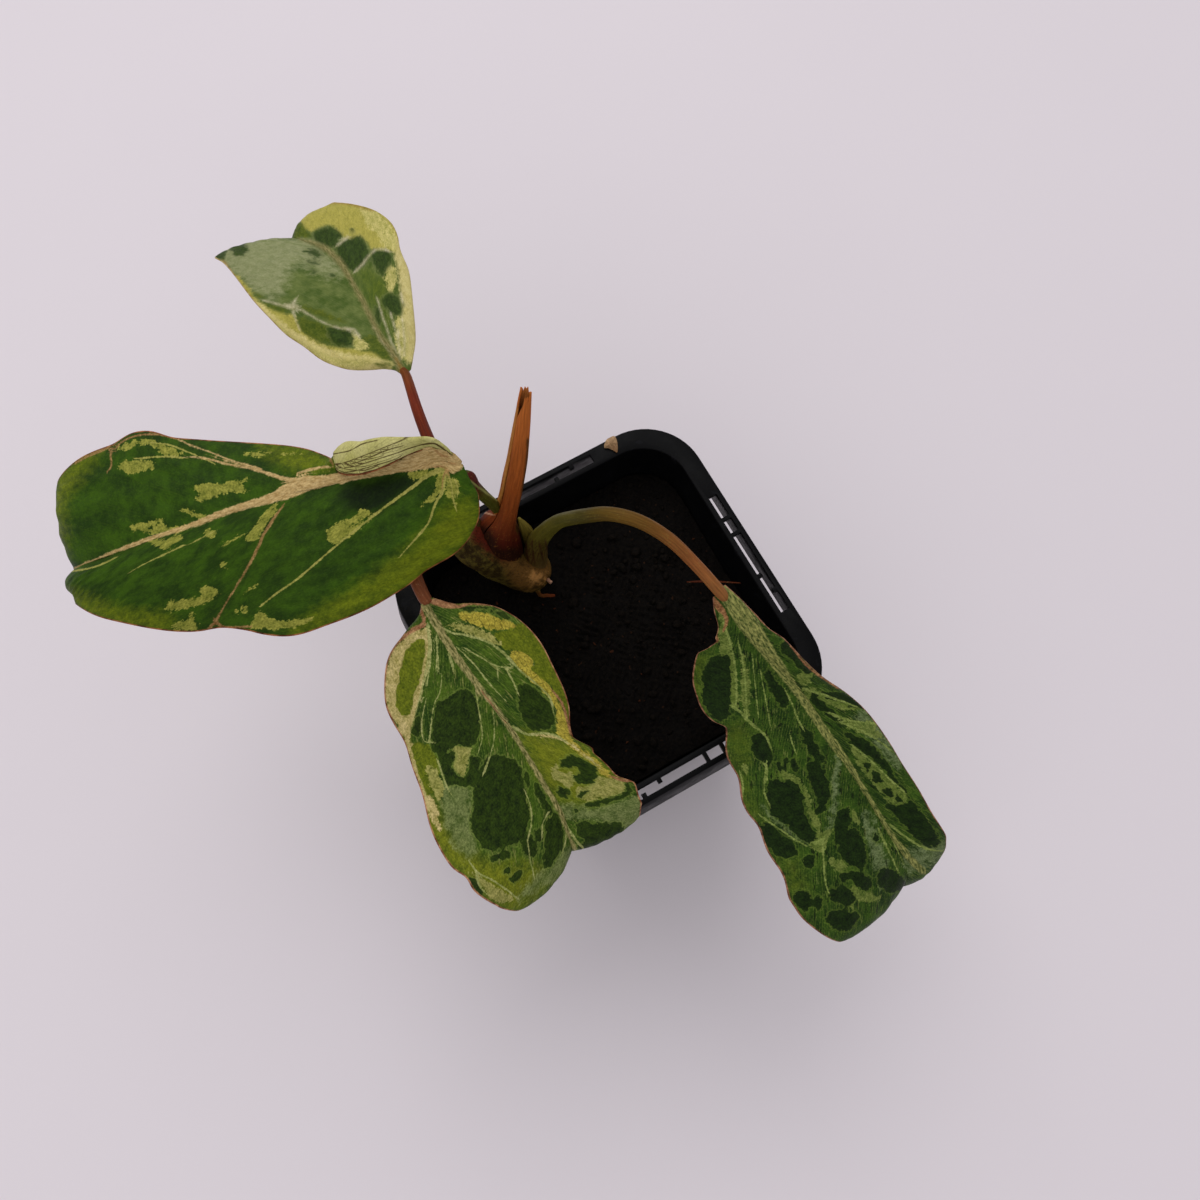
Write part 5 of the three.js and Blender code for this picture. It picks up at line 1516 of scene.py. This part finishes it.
def caneSkin():
    # bark mottled in olive and brown, red under the sheath, and pale brown where it is cut at its lower end,
    # made lighter there as painted light with a painted highlight
    material, shader = startMaterial("caneSkin", Roughness=0.6, Specular_IOR_Level=0.08)
    place = readValue("place", "Vector")
    look = useGroup(fibres, {"Place": place, "Fineness": 1.2})
    mottle = noiseAt(place, 0.6, 4.0, 0.65)
    colour = blend(spread(mottle, 0.42, 0.58), paint("#33260e"), paint("#5c5020"))
    grain = [spread(value, 0.3, 0.7, -1.0, 1.0) for value in (mottle, look["Fibres"], look["Freckles"])]
    # the pale brown patch carries painted light on the lower end, the palest patch a painted highlight
    for layer, tone, soft in (("red", "#541d10", 6.0), ("litTan", "#745226", 7.0), ("endHighlight", "#c89050", 5.0)):
        mask = markMask(layer, grain, (5.0, 2.0, 1.5, soft))["Mask"]
        colour = blend(mask, colour, paint(tone))
    dark = times(spread(look["Freckles"], 0.56, 0.68), 0.6)
    colour = blend(dark, colour, paint("#1e150a"))
    height = plus(times(mottle, 2.0), look["Freckles"])
    finishSkin(shader, colour, height, 0.6, 0.0005)
    return material


caneBark = caneSkin()
makeStalk("caneStem", "cane", "cane", cane, caneBark)
for rootName, root in caneRoots.items():
    rootSkin = stalkSkin(rootName + "Skin", root["tones"], (0, 0.5, 1), 0.7)
    makeStalk(rootName, None, "cane", root, rootSkin)
print("cane made")

# Dry sheath: a leaf base curled round the cane, torn open at its tip

sheath = {
    "path": [(-10.6, 23.6, 68, 4.0), (-10.9, 24.2, 72.5, 4.5), (-10.8, 25, 77, 4.5), (-10, 25.4, 80.5, 3.7),
             (-8.6, 25.5, 83.5, 2.6), (-7.3, 25.8, 87, 2.2), (-5.9, 26.4, 90.5, 2.12),
             (-4.5, 27.1, 95, 2.05), (-3.1, 27.7, 100, 1.9), (-1.9, 28.4, 104.5, 1.72),
             (-0.8, 29, 109, 1.52), (0.2, 29.5, 113.5, 1.3), (1.2, 30, 118, 1)],
    "rings": 170,
    "sides": 60,
    "length": 50,
    "wall": 0.3,
    "opening": 1.5,
    "closedShare": 0.06,
    "opensAt": 0.88,
    "faces": 0.55,
    "edgePull": 0.05,
    "tear": 0.8,
    "tearSlant": 1.4,
    "tearsAt": 0.93,
    "marks": {
        "ochre": {"lines": [[495, 512, 1.6, 503, 488, 1.8, 507, 463, 1.8, 512, 437, 1.6, 517, 408, 1.2]]},
        "dusk": {"lines": [[518, 530, 2.5, 520, 512, 2.2, 523, 492, 1.8, 526, 468, 1.6, 528, 440, 1]]},
        "collar": {"lines": [[478, 512, 0.9, 486, 513, 0.9, 493, 515, 0.7]]},
        "gloomy": {"patches": [[474, 528, 482, 524, 492, 530, 500, 545, 516, 548, 518, 562, 500, 562,
                                484, 554, 474, 540]]},
    },
}


def makeSheath():
    rings, sides = sheath["rings"], sheath["sides"]
    route = evenlyAlong(sheath["path"], rings)
    points, radii = route[:, :3], route[:, 3]
    t = np.linspace(0, 1, rings)[:, None]
    tangents, normals, binormals = frameAlong(points)
    shut = sheath["closedShare"]
    gap = sheath["opening"] * (shut + (1 - shut) * smooth(t, sheath["opensAt"], 1))
    share = np.linspace(0, 1, sides)[None, :]
    angle = sheath["faces"] + gap / 2 + share * (2 * math.pi - gap)
    near = sheath["edgePull"]
    pull = near * (np.exp(-share / near) + np.exp((share - 1) / near))
    fibre = 0.014 * np.sin(41 * share * math.pi) + 0.02 * np.sin(17 * share * math.pi + 9 * t)

    def skin(shrink):
        reach = radii[:, None] * (1 - pull * smooth(t, 0.2, 0.5) + fibre) - shrink
        ragged = sheath["tear"] * (0.5 * np.sin(7 * share * math.pi) + 0.5 * np.sin(17 * share * math.pi + 1))
        rise = smooth(t, sheath["tearsAt"], 1) * (ragged + sheath["tearSlant"] * (share - 0.5))
        around = roundAbout(points, normals, binormals, reach, angle)
        return (around + tangents[:, None] * rise[..., None]).reshape(-1, 3)

    vertices = np.concatenate([skin(0.0), skin(sheath["wall"])])
    count = rings * sides
    quads, rim = sheetFaces(rings, sides)
    after = np.roll(rim, -1)
    edge = np.stack([rim, rim + count, after + count, after], -1)
    piece = makeSheet("drySheath", vertices, quads, (edge,))
    place = np.stack([radii.mean() * np.cos(angle), np.broadcast_to(t * sheath["length"], angle.shape),
                      radii.mean() * np.sin(angle)], -1).reshape(-1, 3)
    addValues(piece, "place", np.concatenate([place, place]))
    addValues(piece, "along", np.tile(np.repeat(t[:, 0], sides), 2))
    addMarks(piece, vertices, sheath["marks"])
    return piece


sheathMarks = (
    ("gloomy", "#2c140a", (3.0, 1.5, 1.0, 5.0)),
    ("dusk", "#4c3012", (0.5, 1.0, 0.5, 1.5)),
    ("ochre", "#ae7434", (0.5, 1.0, 0.5, 1.2)),
    ("collar", "#b08468", (0.2, 0.2, 0.3, 0.7)),
)
sheathTones = ("#2c1a0c", "#3c140c", "#521d0f", "#84401a", "#964c1e", "#b06029", "#b8682e")
outside = stalkSkin("sheathOutside", sheathTones, (0, 0.13, 0.24, 0.37, 0.5, 0.8, 1), 0.65, "#b87834", 0.25,
                    0.06, sheathMarks)
inside = stalkSkin("sheathInside", ("#3a2410", "#8a4e20", "#b07038"), (0, 0.4, 1), 0.8, "#c09850", 0.3, 0.06)
keep(makeSheath(), "old_sheath", "dry_sheath", outside, inside)

budScale = {
    "rings": 40,
    "sides": 20,
    "path": [(-5.2, 22.4, 66, 1.4), (-5, 23, 71, 1.6), (-5.1, 23.3, 75, 1.4), (-5.5, 23.6, 78.5, 1),
             (-6, 24.2, 82, 0.3)],
    "groove": 0.3,
}
scaleSkin = stalkSkin("scaleSkin", ("#3a3012", "#6c5e22", "#7c6e2c"), (0.2, 0.55, 1))
makeStalk("budScale", "bud_scale", "green_stalk", budScale, scaleSkin)
print("sheath and scale made")

# Pot

pot = {
    "rimWidth": 70, "rimHeight": 70, "rimCorner": 12.8, "rimThickness": 1.2,
    "wallTopWidth": 64, "wallCorner": 11, "wallThickness": 1.2,
    "baseWidth": 51, "baseCorner": 9, "floorThickness": 1.6,
    "collarDepth": 8.3, "collarThickness": 1.1, "collarFlare": 0.9,
    "slotInner": 32, "slotOuter": 33.9, "slotFrom": -15.3, "slotTo": 13.2,
    "bars": [(3.8, 0.8, 32, 33.9), (7.6, 0.8, 32, 33.9), (-6.5, 0.9, 32, 32.9), (-10.5, 1.0, 33, 33.9)],
    "drainRadius": 3, "drainPlace": 14,
    "edge": 0.28,
    "bevel": 0.12,
    "arcSteps": 14,
}


def roundedSquare(width, corner, z):
    inset = width / 2 - corner
    ring = []
    for quarter in range(4):
        turn = quarter * math.pi / 2
        cx = inset * (math.cos(turn) - math.sin(turn))
        cy = inset * (math.sin(turn) + math.cos(turn))
        for i in range(pot["arcSteps"] + 1):
            angle = turn + i / pot["arcSteps"] * math.pi / 2
            ring.append((cx + corner * math.cos(angle), cy + corner * math.sin(angle), z))
    return ring


def wallAt(z, gap=0.0):
    # width and corner of the wall's outside at a height, drawn in by a gap
    share = z / pot["rimHeight"]
    width = pot["baseWidth"] + share * (pot["wallTopWidth"] - pot["baseWidth"])
    corner = pot["baseCorner"] + share * (pot["wallCorner"] - pot["baseCorner"])
    return width - 2 * gap, corner - gap


def bakeModifiers(piece):
    bpy.context.view_layer.update()
    graph = bpy.context.evaluated_depsgraph_get()
    mesh = bpy.data.meshes.new_from_object(piece.evaluated_get(graph))
    piece.modifiers.clear()
    piece.data = mesh


def cutAway(piece, cutter):
    modifier = piece.modifiers.new("cut", "BOOLEAN")
    modifier.operation = "DIFFERENCE"
    modifier.solver = "EXACT"
    modifier.object = cutter
    bakeModifiers(piece)
    bpy.data.objects.remove(cutter)


def cutBox(piece, x0, x1, y0, y1, z0, z1):
    points = [(x, y, z) for z in (z0, z1) for x, y in ((x0, y0), (x1, y0), (x1, y1), (x0, y1))]
    faces = [(0, 3, 2, 1), (4, 5, 6, 7), (0, 1, 5, 4), (1, 2, 6, 5), (2, 3, 7, 6), (3, 0, 4, 7)]
    cutAway(piece, makeMesh("slotCutter", points, faces, soft=False))


def makePot():
    p, edge = pot, pot["edge"]
    top, rim, corner, thick = p["rimHeight"], p["rimWidth"], p["rimCorner"], p["collarThickness"]
    foot = top - p["collarDepth"]
    under = top - p["rimThickness"]
    floor = p["floorThickness"]
    skirt, skirtCorner = rim + 2 * p["collarFlare"], corner + p["collarFlare"]
    inside, insideCorner = p["wallTopWidth"] - 2 * p["wallThickness"], p["wallCorner"] - p["wallThickness"]
    base, baseCorner = wallAt(0)
    rings = [
        (base - 6, baseCorner - 3, 0),
        (base - 2 * edge, baseCorner - edge, 0),
        (*wallAt(0, edge * 0.3), edge * 0.3),
        (*wallAt(edge), edge),
        (*wallAt(foot - 2), foot - 2),
        (*wallAt(under - edge), under - edge),
        (p["wallTopWidth"] + 2 * edge, p["wallCorner"] + edge, under),
        (rim - 2 * thick - 2 * edge, corner - thick - edge, under),
        (rim - 2 * thick, corner - thick, under - edge),
        (skirt - 2 * thick, skirtCorner - thick, foot + edge),
        (skirt - 2 * thick + edge, skirtCorner - thick, foot),
        (skirt - edge, skirtCorner - edge / 2, foot),
        (skirt, skirtCorner, foot + edge),
        (rim + 0.1, corner + 0.05, top - edge),
        (rim - 0.6 * edge, corner - 0.3 * edge, top - 0.3 * edge),
        (rim - 2 * edge, corner - edge, top),
        (inside + 2 * edge, insideCorner + edge, top),
        (inside + 0.6 * edge, insideCorner + 0.3 * edge, top - 0.3 * edge),
        (inside, insideCorner, top - edge),
        (*wallAt(floor + 1, p["wallThickness"]), floor + 1),
        (*wallAt(floor, p["wallThickness"] + 1), floor),
        (20, 4, floor),
    ]
    loops = [roundedSquare(*ring) for ring in rings]
    count = len(loops[0])
    points = [point for loop in loops for point in loop]
    faces = [tuple(reversed(range(count)))] + loftFaces(len(loops), count)
    faces.append(tuple((len(loops) - 1) * count + i for i in range(count)))
    piece = makeMesh("nurseryPot", points, faces)

    # each side of the collar has the same slot, left whole where its bars cross
    low, high, past = top - 2 * p["rimThickness"], top + 1, 0.02
    cuts = [p["slotFrom"], p["slotTo"]]
    for at, width, _, _ in p["bars"]:
        cuts += [at - width / 2, at + width / 2]
    cuts.sort()
    for y0, y1 in zip(cuts, cuts[1:]):
        x0, x1 = p["slotInner"], p["slotOuter"]
        for at, width, inner, outer in p["bars"]:
            if abs((y0 + y1) / 2 - at) < width / 2:
                x0 = outer if inner == p["slotInner"] else p["slotInner"]
                x1 = inner if outer == p["slotOuter"] else p["slotOuter"]
        if x1 > x0:
            y0, y1 = y0 - past, y1 + past
            for sides in ((x0, x1, y0, y1), (-y1, -y0, x0, x1), (-x1, -x0, -y1, -y0), (y0, y1, -x1, -x0)):
                cutBox(piece, *sides, low, high)
    for sx, sy in ((1, 1), (-1, 1), (-1, -1), (1, -1)):
        bpy.ops.mesh.primitive_cylinder_add(
            vertices=40, radius=p["drainRadius"] * mm, depth=8 * mm,
            location=(sx * p["drainPlace"] * mm, sy * p["drainPlace"] * mm, 0))
        cutAway(piece, bpy.context.object)
    bevel = piece.modifiers.new("bevel", "BEVEL")
    bevel.width = p["bevel"] * mm
    bevel.segments = 2
    bevel.limit_method = "ANGLE"
    bevel.angle_limit = math.radians(50)
    bakeModifiers(piece)
    piece.data.polygons.foreach_set("use_smooth", [True] * len(piece.data.polygons))
    return piece


def potSkin():
    # smooth black plastic with a fine moulded grain, light scuffs and patches of dust
    material, shader = startMaterial("potPlastic", Roughness=0.5, Specular_IOR_Level=0.06)
    place = addNode("TexCoord").outputs["Object"]
    grain = noiseAt(place, 2600.0, 2.0, 0.6)
    scuffs = noiseAt(place, 260.0, 5.0, 0.7, 0.6)
    dust = noiseAt(place, 60.0, 4.0, 0.6)
    dusty = times(spread(dust, 0.52, 0.75), 0.18)
    colour = blend(dusty, paint("#060607"), paint("#1c1b1a"))
    worn = times(spread(scuffs, 0.6, 0.68), 0.2)
    colour = blend(worn, colour, paint("#26272b"))
    finishSkin(shader, colour, grain, 0.12, 0.0002, spread(scuffs, 0.4, 0.7, 0.38, 0.55))
    return material


keep(makePot(), "pot", "pot_plastic", potSkin())
print("pot made")

# Soil

soil = {
    "top": 60, "gap": 0.3, "foot": 48,
    "lumps": 90, "lumpHeight": 2.2, "lumpReach": 2.2, "lumpReachSpread": 2.6, "sunkShare": 0.45,
    "rings": 90, "around": 260,
    "crumbs": 520, "crumbSmall": 0.25, "crumbLarge": 1.3,
    "flecks": 26,
    "waves": 22,
    "cornerClear": 8,
    "cane": (-6.8, 19.3),
    "caneClear": 6.4,
    "seed": 20,
}


def soilLumps():
    # the same draws as the soil's solid, so that both have the same lumps
    state = soil["seed"]
    draws = []
    for _ in range(4 * soil["lumps"]):
        state = (state * 1103515245 + 12345) % 2147483648
        draws.append(state / 2147483648)
    width = wallAt(soil["top"])[0]
    lumps = []
    for i in range(soil["lumps"]):
        x, y, reach, height = draws[4 * i:4 * i + 4]
        lumps.append(((x - 0.5) * width, (y - 0.5) * width,
                      soil["lumpReach"] + soil["lumpReachSpread"] * reach,
                      soil["lumpHeight"] * (height - soil["sunkShare"])))
    return np.array(lumps)


def soilHeight(places, lumps, rough):
    reach = np.hypot(places[:, None, 0] - lumps[:, 0], places[:, None, 1] - lumps[:, 1]) / lumps[:, 2]
    height = soil["top"] + (lumps[:, 3] * np.exp(-reach ** 2)).sum(1)
    for fx, fy, shift, size in rough:
        height += size * np.sin(fx * places[:, 0] + shift) * np.sin(fy * places[:, 1] + 2.1 * shift)
    return height


def makeSoil():
    random = np.random.default_rng(soil["seed"])
    ranges = ((1.5, 6), (1.5, 6), (0, 6), (0.04, 0.14))
    rough = [[random.uniform(*ends) for ends in ranges] for _ in range(soil["waves"])]
    lumps = soilLumps()
    width, corner = wallAt(soil["top"], pot["wallThickness"] + soil["gap"])
    outline = np.array(roundedSquare(width, corner, 0))[:, :2]
    evenly = np.linspace(0, 1, soil["around"], endpoint=False)
    border = placesAlong(np.concatenate([outline, outline[:1]]), evenly)
    shares = np.linspace(1 / soil["rings"], 1, soil["rings"]) ** 0.8
    flat = (shares[:, None, None] * border[None]).reshape(-1, 2)
    top = np.column_stack([flat, soilHeight(flat, lumps, rough)])
    foot = np.array(wallAt(soil["foot"], pot["wallThickness"] + soil["gap"]))[0] / width
    bottom = np.column_stack([border * foot, np.full(len(border), soil["foot"])])
    points = np.concatenate([top, bottom, [[0, 0, soilHeight(np.zeros((1, 2)), lumps, rough)[0]],
                                           [0, 0, soil["foot"]]]])
    count, rings = soil["around"], soil["rings"] + 1
    faces = [tuple(reversed(face)) for face in loftFaces(rings, count) + capFaces(rings, count)]
    return makeMesh("soilBed", points, faces), lumps, rough


def splitIcosahedron():
    # corners and outward triangles of an icosahedron whose faces are split in four
    golden, ends = 1.618, (1, -1)
    corners = [(0, a, b * golden) for b in ends for a in ends]
    corners += [(a, b * golden, 0) for b in ends for a in ends]
    corners = np.array(corners + [(b * golden, 0, a) for a in ends for b in ends]) / 1.902
    near = np.linalg.norm(corners[:, None] - corners, axis=-1)
    ties = (near > 0.1) & (near < 1.2)
    ball, mids, faces = list(corners), {}, []
    for a, b, c in ((a, b, c) for a in range(12) for b in range(a + 1, 12) for c in range(b + 1, 12)):
        if not (ties[a, b] and ties[b, c] and ties[a, c]):
            continue
        if np.cross(corners[b] - corners[a], corners[c] - corners[a]) @ corners[a] <= 0:
            b, c = c, b
        ring = []
        for pair in ((a, b), (b, c), (c, a)):
            key = tuple(sorted(pair))
            if key not in mids:
                middle = corners[key[0]] + corners[key[1]]
                mids[key] = len(ball)
                ball.append(middle / np.linalg.norm(middle))
            ring.append(mids[key])
        ab, bc, ca = ring
        faces += [(a, ab, ca), (ab, b, bc), (ca, bc, c), (ab, bc, ca)]
    return np.array(ball), faces


def scatterPieces(name, count, sizes, lumps, rough, squash, random, sink=0.3):
    # small lumps strewn over the soil, each a bent ball, in one mesh
    ball, ballFaces = splitIcosahedron()
    half = wallAt(soil["top"], 3.2)[0] / 2
    clear = soil["cornerClear"]
    points, faces = [], []
    for _ in range(count):
        x, y = random.uniform(-half, half, 2)
        inX, inY = abs(x) - half + clear, abs(y) - half + clear
        if min(inX, inY) > 0 and np.hypot(inX, inY) > clear:
            continue
        if np.hypot(x - soil["cane"][0], y - soil["cane"][1]) < soil["caneClear"]:
            continue
        size = sizes[0] + (sizes[1] - sizes[0]) * random.random() ** 3
        stretch = np.array([1, random.uniform(*squash), random.uniform(*squash)]) * size
        turn = random.uniform(0, 2 * math.pi)
        dents = 1 + 0.22 * np.sin(6.2 * ball[:, :1] + turn) * np.sin(4.3 * ball[:, 1:2] + 2 * turn)
        c, s = math.cos(turn), math.sin(turn)
        around = np.array([[c, s, 0], [-s, c, 0], [0, 0, 1]])
        z = soilHeight(np.array([[x, y]]), lumps, rough)[0] + (1 - 2 * sink) * stretch[2] * 0.5
        faces += [tuple(len(points) + i for i in face) for face in ballFaces]
        points += [tuple(place) for place in (ball * dents * stretch) @ around + (x, y, z)]
    return makeMesh(name, points, faces)


def soilSkin(name, dark, light, speck, specks):
    material, shader = startMaterial(name, Roughness=0.95, Specular_IOR_Level=0.06)
    place = addNode("TexCoord").outputs["Object"]
    fine = noiseAt(place, 1500.0, 4.0, 0.7)
    broad = noiseAt(place, 220.0, 3.0, 0.6)
    colour = blend(spread(fine, 0.35, 0.7), paint(dark), paint(light))
    rare = times(spread(noiseAt(place, 900.0, 1.0, 0.5), 0.72, 0.78), specks)
    colour = blend(rare, colour, paint(speck))
    roughness = spread(broad, 0.3, 0.7, 0.75, 1.0)
    finishSkin(shader, colour, plus(fine, broad), 0.9, 0.0006, roughness)
    return material


bed, lumps, rough = makeSoil()
keep(bed, "soil", "soil", soilSkin("soilSkin", "#060505", "#120e0a", "#3a2415", 0.6))
random = np.random.default_rng(7)
crumbs = scatterPieces("soilCrumbs", soil["crumbs"], (soil["crumbSmall"], soil["crumbLarge"]), lumps, rough,
                       (0.6, 1.0), random)
keep(crumbs, None, "soil", soilSkin("crumbSkin", "#080706", "#17110c", "#3a2415", 0.5))
flecks = scatterPieces("soilFlecks", soil["flecks"], (0.25, 0.7), lumps, rough, (0.3, 0.7), random, 0.1)
keep(flecks, None, "soil", soilSkin("fleckSkin", "#2a150c", "#4a2a18", "#7a6a55", 0.8))

straw = {
    "rings": 40,
    "sides": 10,
    "path": [(20.6, 1.6, 61.4, 0.14), (23, 0.2, 61.9, 0.24), (26, -1.6, 62.1, 0.22),
             (30.2, -4.4, 62.4, 0.12)],
}
makeStalk("soilStraw", None, "soil", straw, stalkSkin("strawSkin", ("#4a2010", "#5c2c18"), (0, 1), 0.7))
print("soil made")

# Dry flake on the back of the rim

husk = {
    "outline": [18.6, 33.6, 19.2, 34.5, 20.4, 35.1, 21.8, 34.8, 21.6, 33.4, 21.1, 32.3, 20.4, 31.4,
                19.8, 32.4, 19.2, 33.2],
    "z": 70.3,
    "rise": 0.5,
    "wave": 0.12,
    "wall": 0.2,
}


def makeHusk():
    border = roundedOutline(husk["outline"], 5)
    middle = border.mean(0)
    shares = np.linspace(0.12, 1, 10)
    rows = middle + shares[:, None, None] * (border - middle)[None]
    wave = husk["wave"] * np.sin(7 * np.linspace(0, 6.28, len(border)))
    lift = husk["rise"] * (1 - shares[:, None] ** 2) + wave
    count = len(border)
    top = np.concatenate([rows, (husk["z"] + husk["wall"] + lift)[..., None]], -1).reshape(-1, 3)
    bottom = np.concatenate([rows, (husk["z"] + lift * 0.6)[..., None]], -1).reshape(-1, 3)
    total = len(top)
    faces = loftFaces(len(shares), count)
    under = [tuple(total + i for i in reversed(face)) for face in faces]
    last = (len(shares) - 1) * count
    wall = [(last + i, total + last + i, total + last + (i + 1) % count, last + (i + 1) % count)
            for i in range(count)]
    caps = [tuple(reversed(range(count))), tuple(total + i for i in range(count))]
    piece = makeMesh("rimFlake", np.concatenate([top, bottom]), faces + under + wall + caps)
    place = np.concatenate([top, bottom])
    addValues(piece, "place", place)
    addValues(piece, "along", (place[:, 1] - place[:, 1].min()) / np.ptp(place[:, 1]))
    return piece


huskSkin = stalkSkin("huskSkin", ("#7c5a3c", "#a88a68"), (0, 1), 0.75)
keep(makeHusk(), "dry_husk", "dry_husk", huskSkin)
print("flake made")

# Floor, light and camera

stageLook = {"floor": "#dad3d8", "size": 2400, "sky": (0.97, 0.96, 1.0), "skyStrength": 0.57}


def makeFloor():
    half = stageLook["size"] / 2
    floor = makeMesh("floor", [(-half, -half, 0), (half, -half, 0), (half, half, 0), (-half, half, 0)],
                     [(0, 1, 2, 3)], soft=False)
    material, shader = startMaterial("floorPaint", Roughness=0.85, Specular_IOR_Level=0.2)
    place = addNode("TexCoord").outputs["Object"]
    mottle = spread(noiseAt(place, 9.0, 3.0, 0.5), 0.35, 0.65)
    colour = blend(times(mottle, 0.1), paint(stageLook["floor"]), paint("#cfc8cd"))
    material.node_tree.links.new(colour, shader.inputs["Base Color"])
    floor.data.materials.append(material)


def addLight(name, place, aim, size, power, colour):
    lamp = bpy.data.lights.new(name, "AREA")
    lamp.shape = "DISK"
    lamp.size = size
    lamp.energy = power
    lamp.color = colour
    holder = bpy.data.objects.new(name, lamp)
    bpy.context.collection.objects.link(holder)
    holder.location = Vector(place)
    holder.rotation_euler = (Vector(aim) - Vector(place)).to_track_quat("-Z", "Y").to_euler()


def lightStage():
    world = bpy.data.worlds.new("softSky")
    world.use_nodes = True
    sky = world.node_tree.nodes["Background"]
    sky.inputs[0].default_value = (*stageLook["sky"], 1)
    sky.inputs[1].default_value = stageLook["skyStrength"]
    bpy.context.scene.world = world
    addLight("windowLight", (0.15, 0.9, 1.3), (0, 0, 0.06), 1.5, 12, (1.0, 0.985, 0.975))
    addLight("roomFill", (-0.6, -0.5, 1.1), (0, 0, 0.06), 1.4, 3, (1.0, 0.97, 0.95))


def addCamera():
    camera = bpy.data.cameras.new("photoCamera")
    camera.lens = view["lens"]
    camera.sensor_width = view["sensor"]
    camera.sensor_fit = "HORIZONTAL"
    camera.clip_start = 0.01
    holder = bpy.data.objects.new("photoCamera", camera)
    bpy.context.collection.objects.link(holder)
    right, up = Vector(view["right"]).normalized(), Vector(view["up"]).normalized()
    back = right.cross(up)
    turn = [[right[i], up[i], back[i], view["place"][i] * mm] for i in range(3)] + [[0, 0, 0, 1]]
    holder.matrix_world = Matrix(turn)
    bpy.context.scene.camera = holder


makeFloor()
lightStage()
addCamera()
bpy.context.scene.view_settings.view_transform = "Standard"
print("stage, light and camera set")
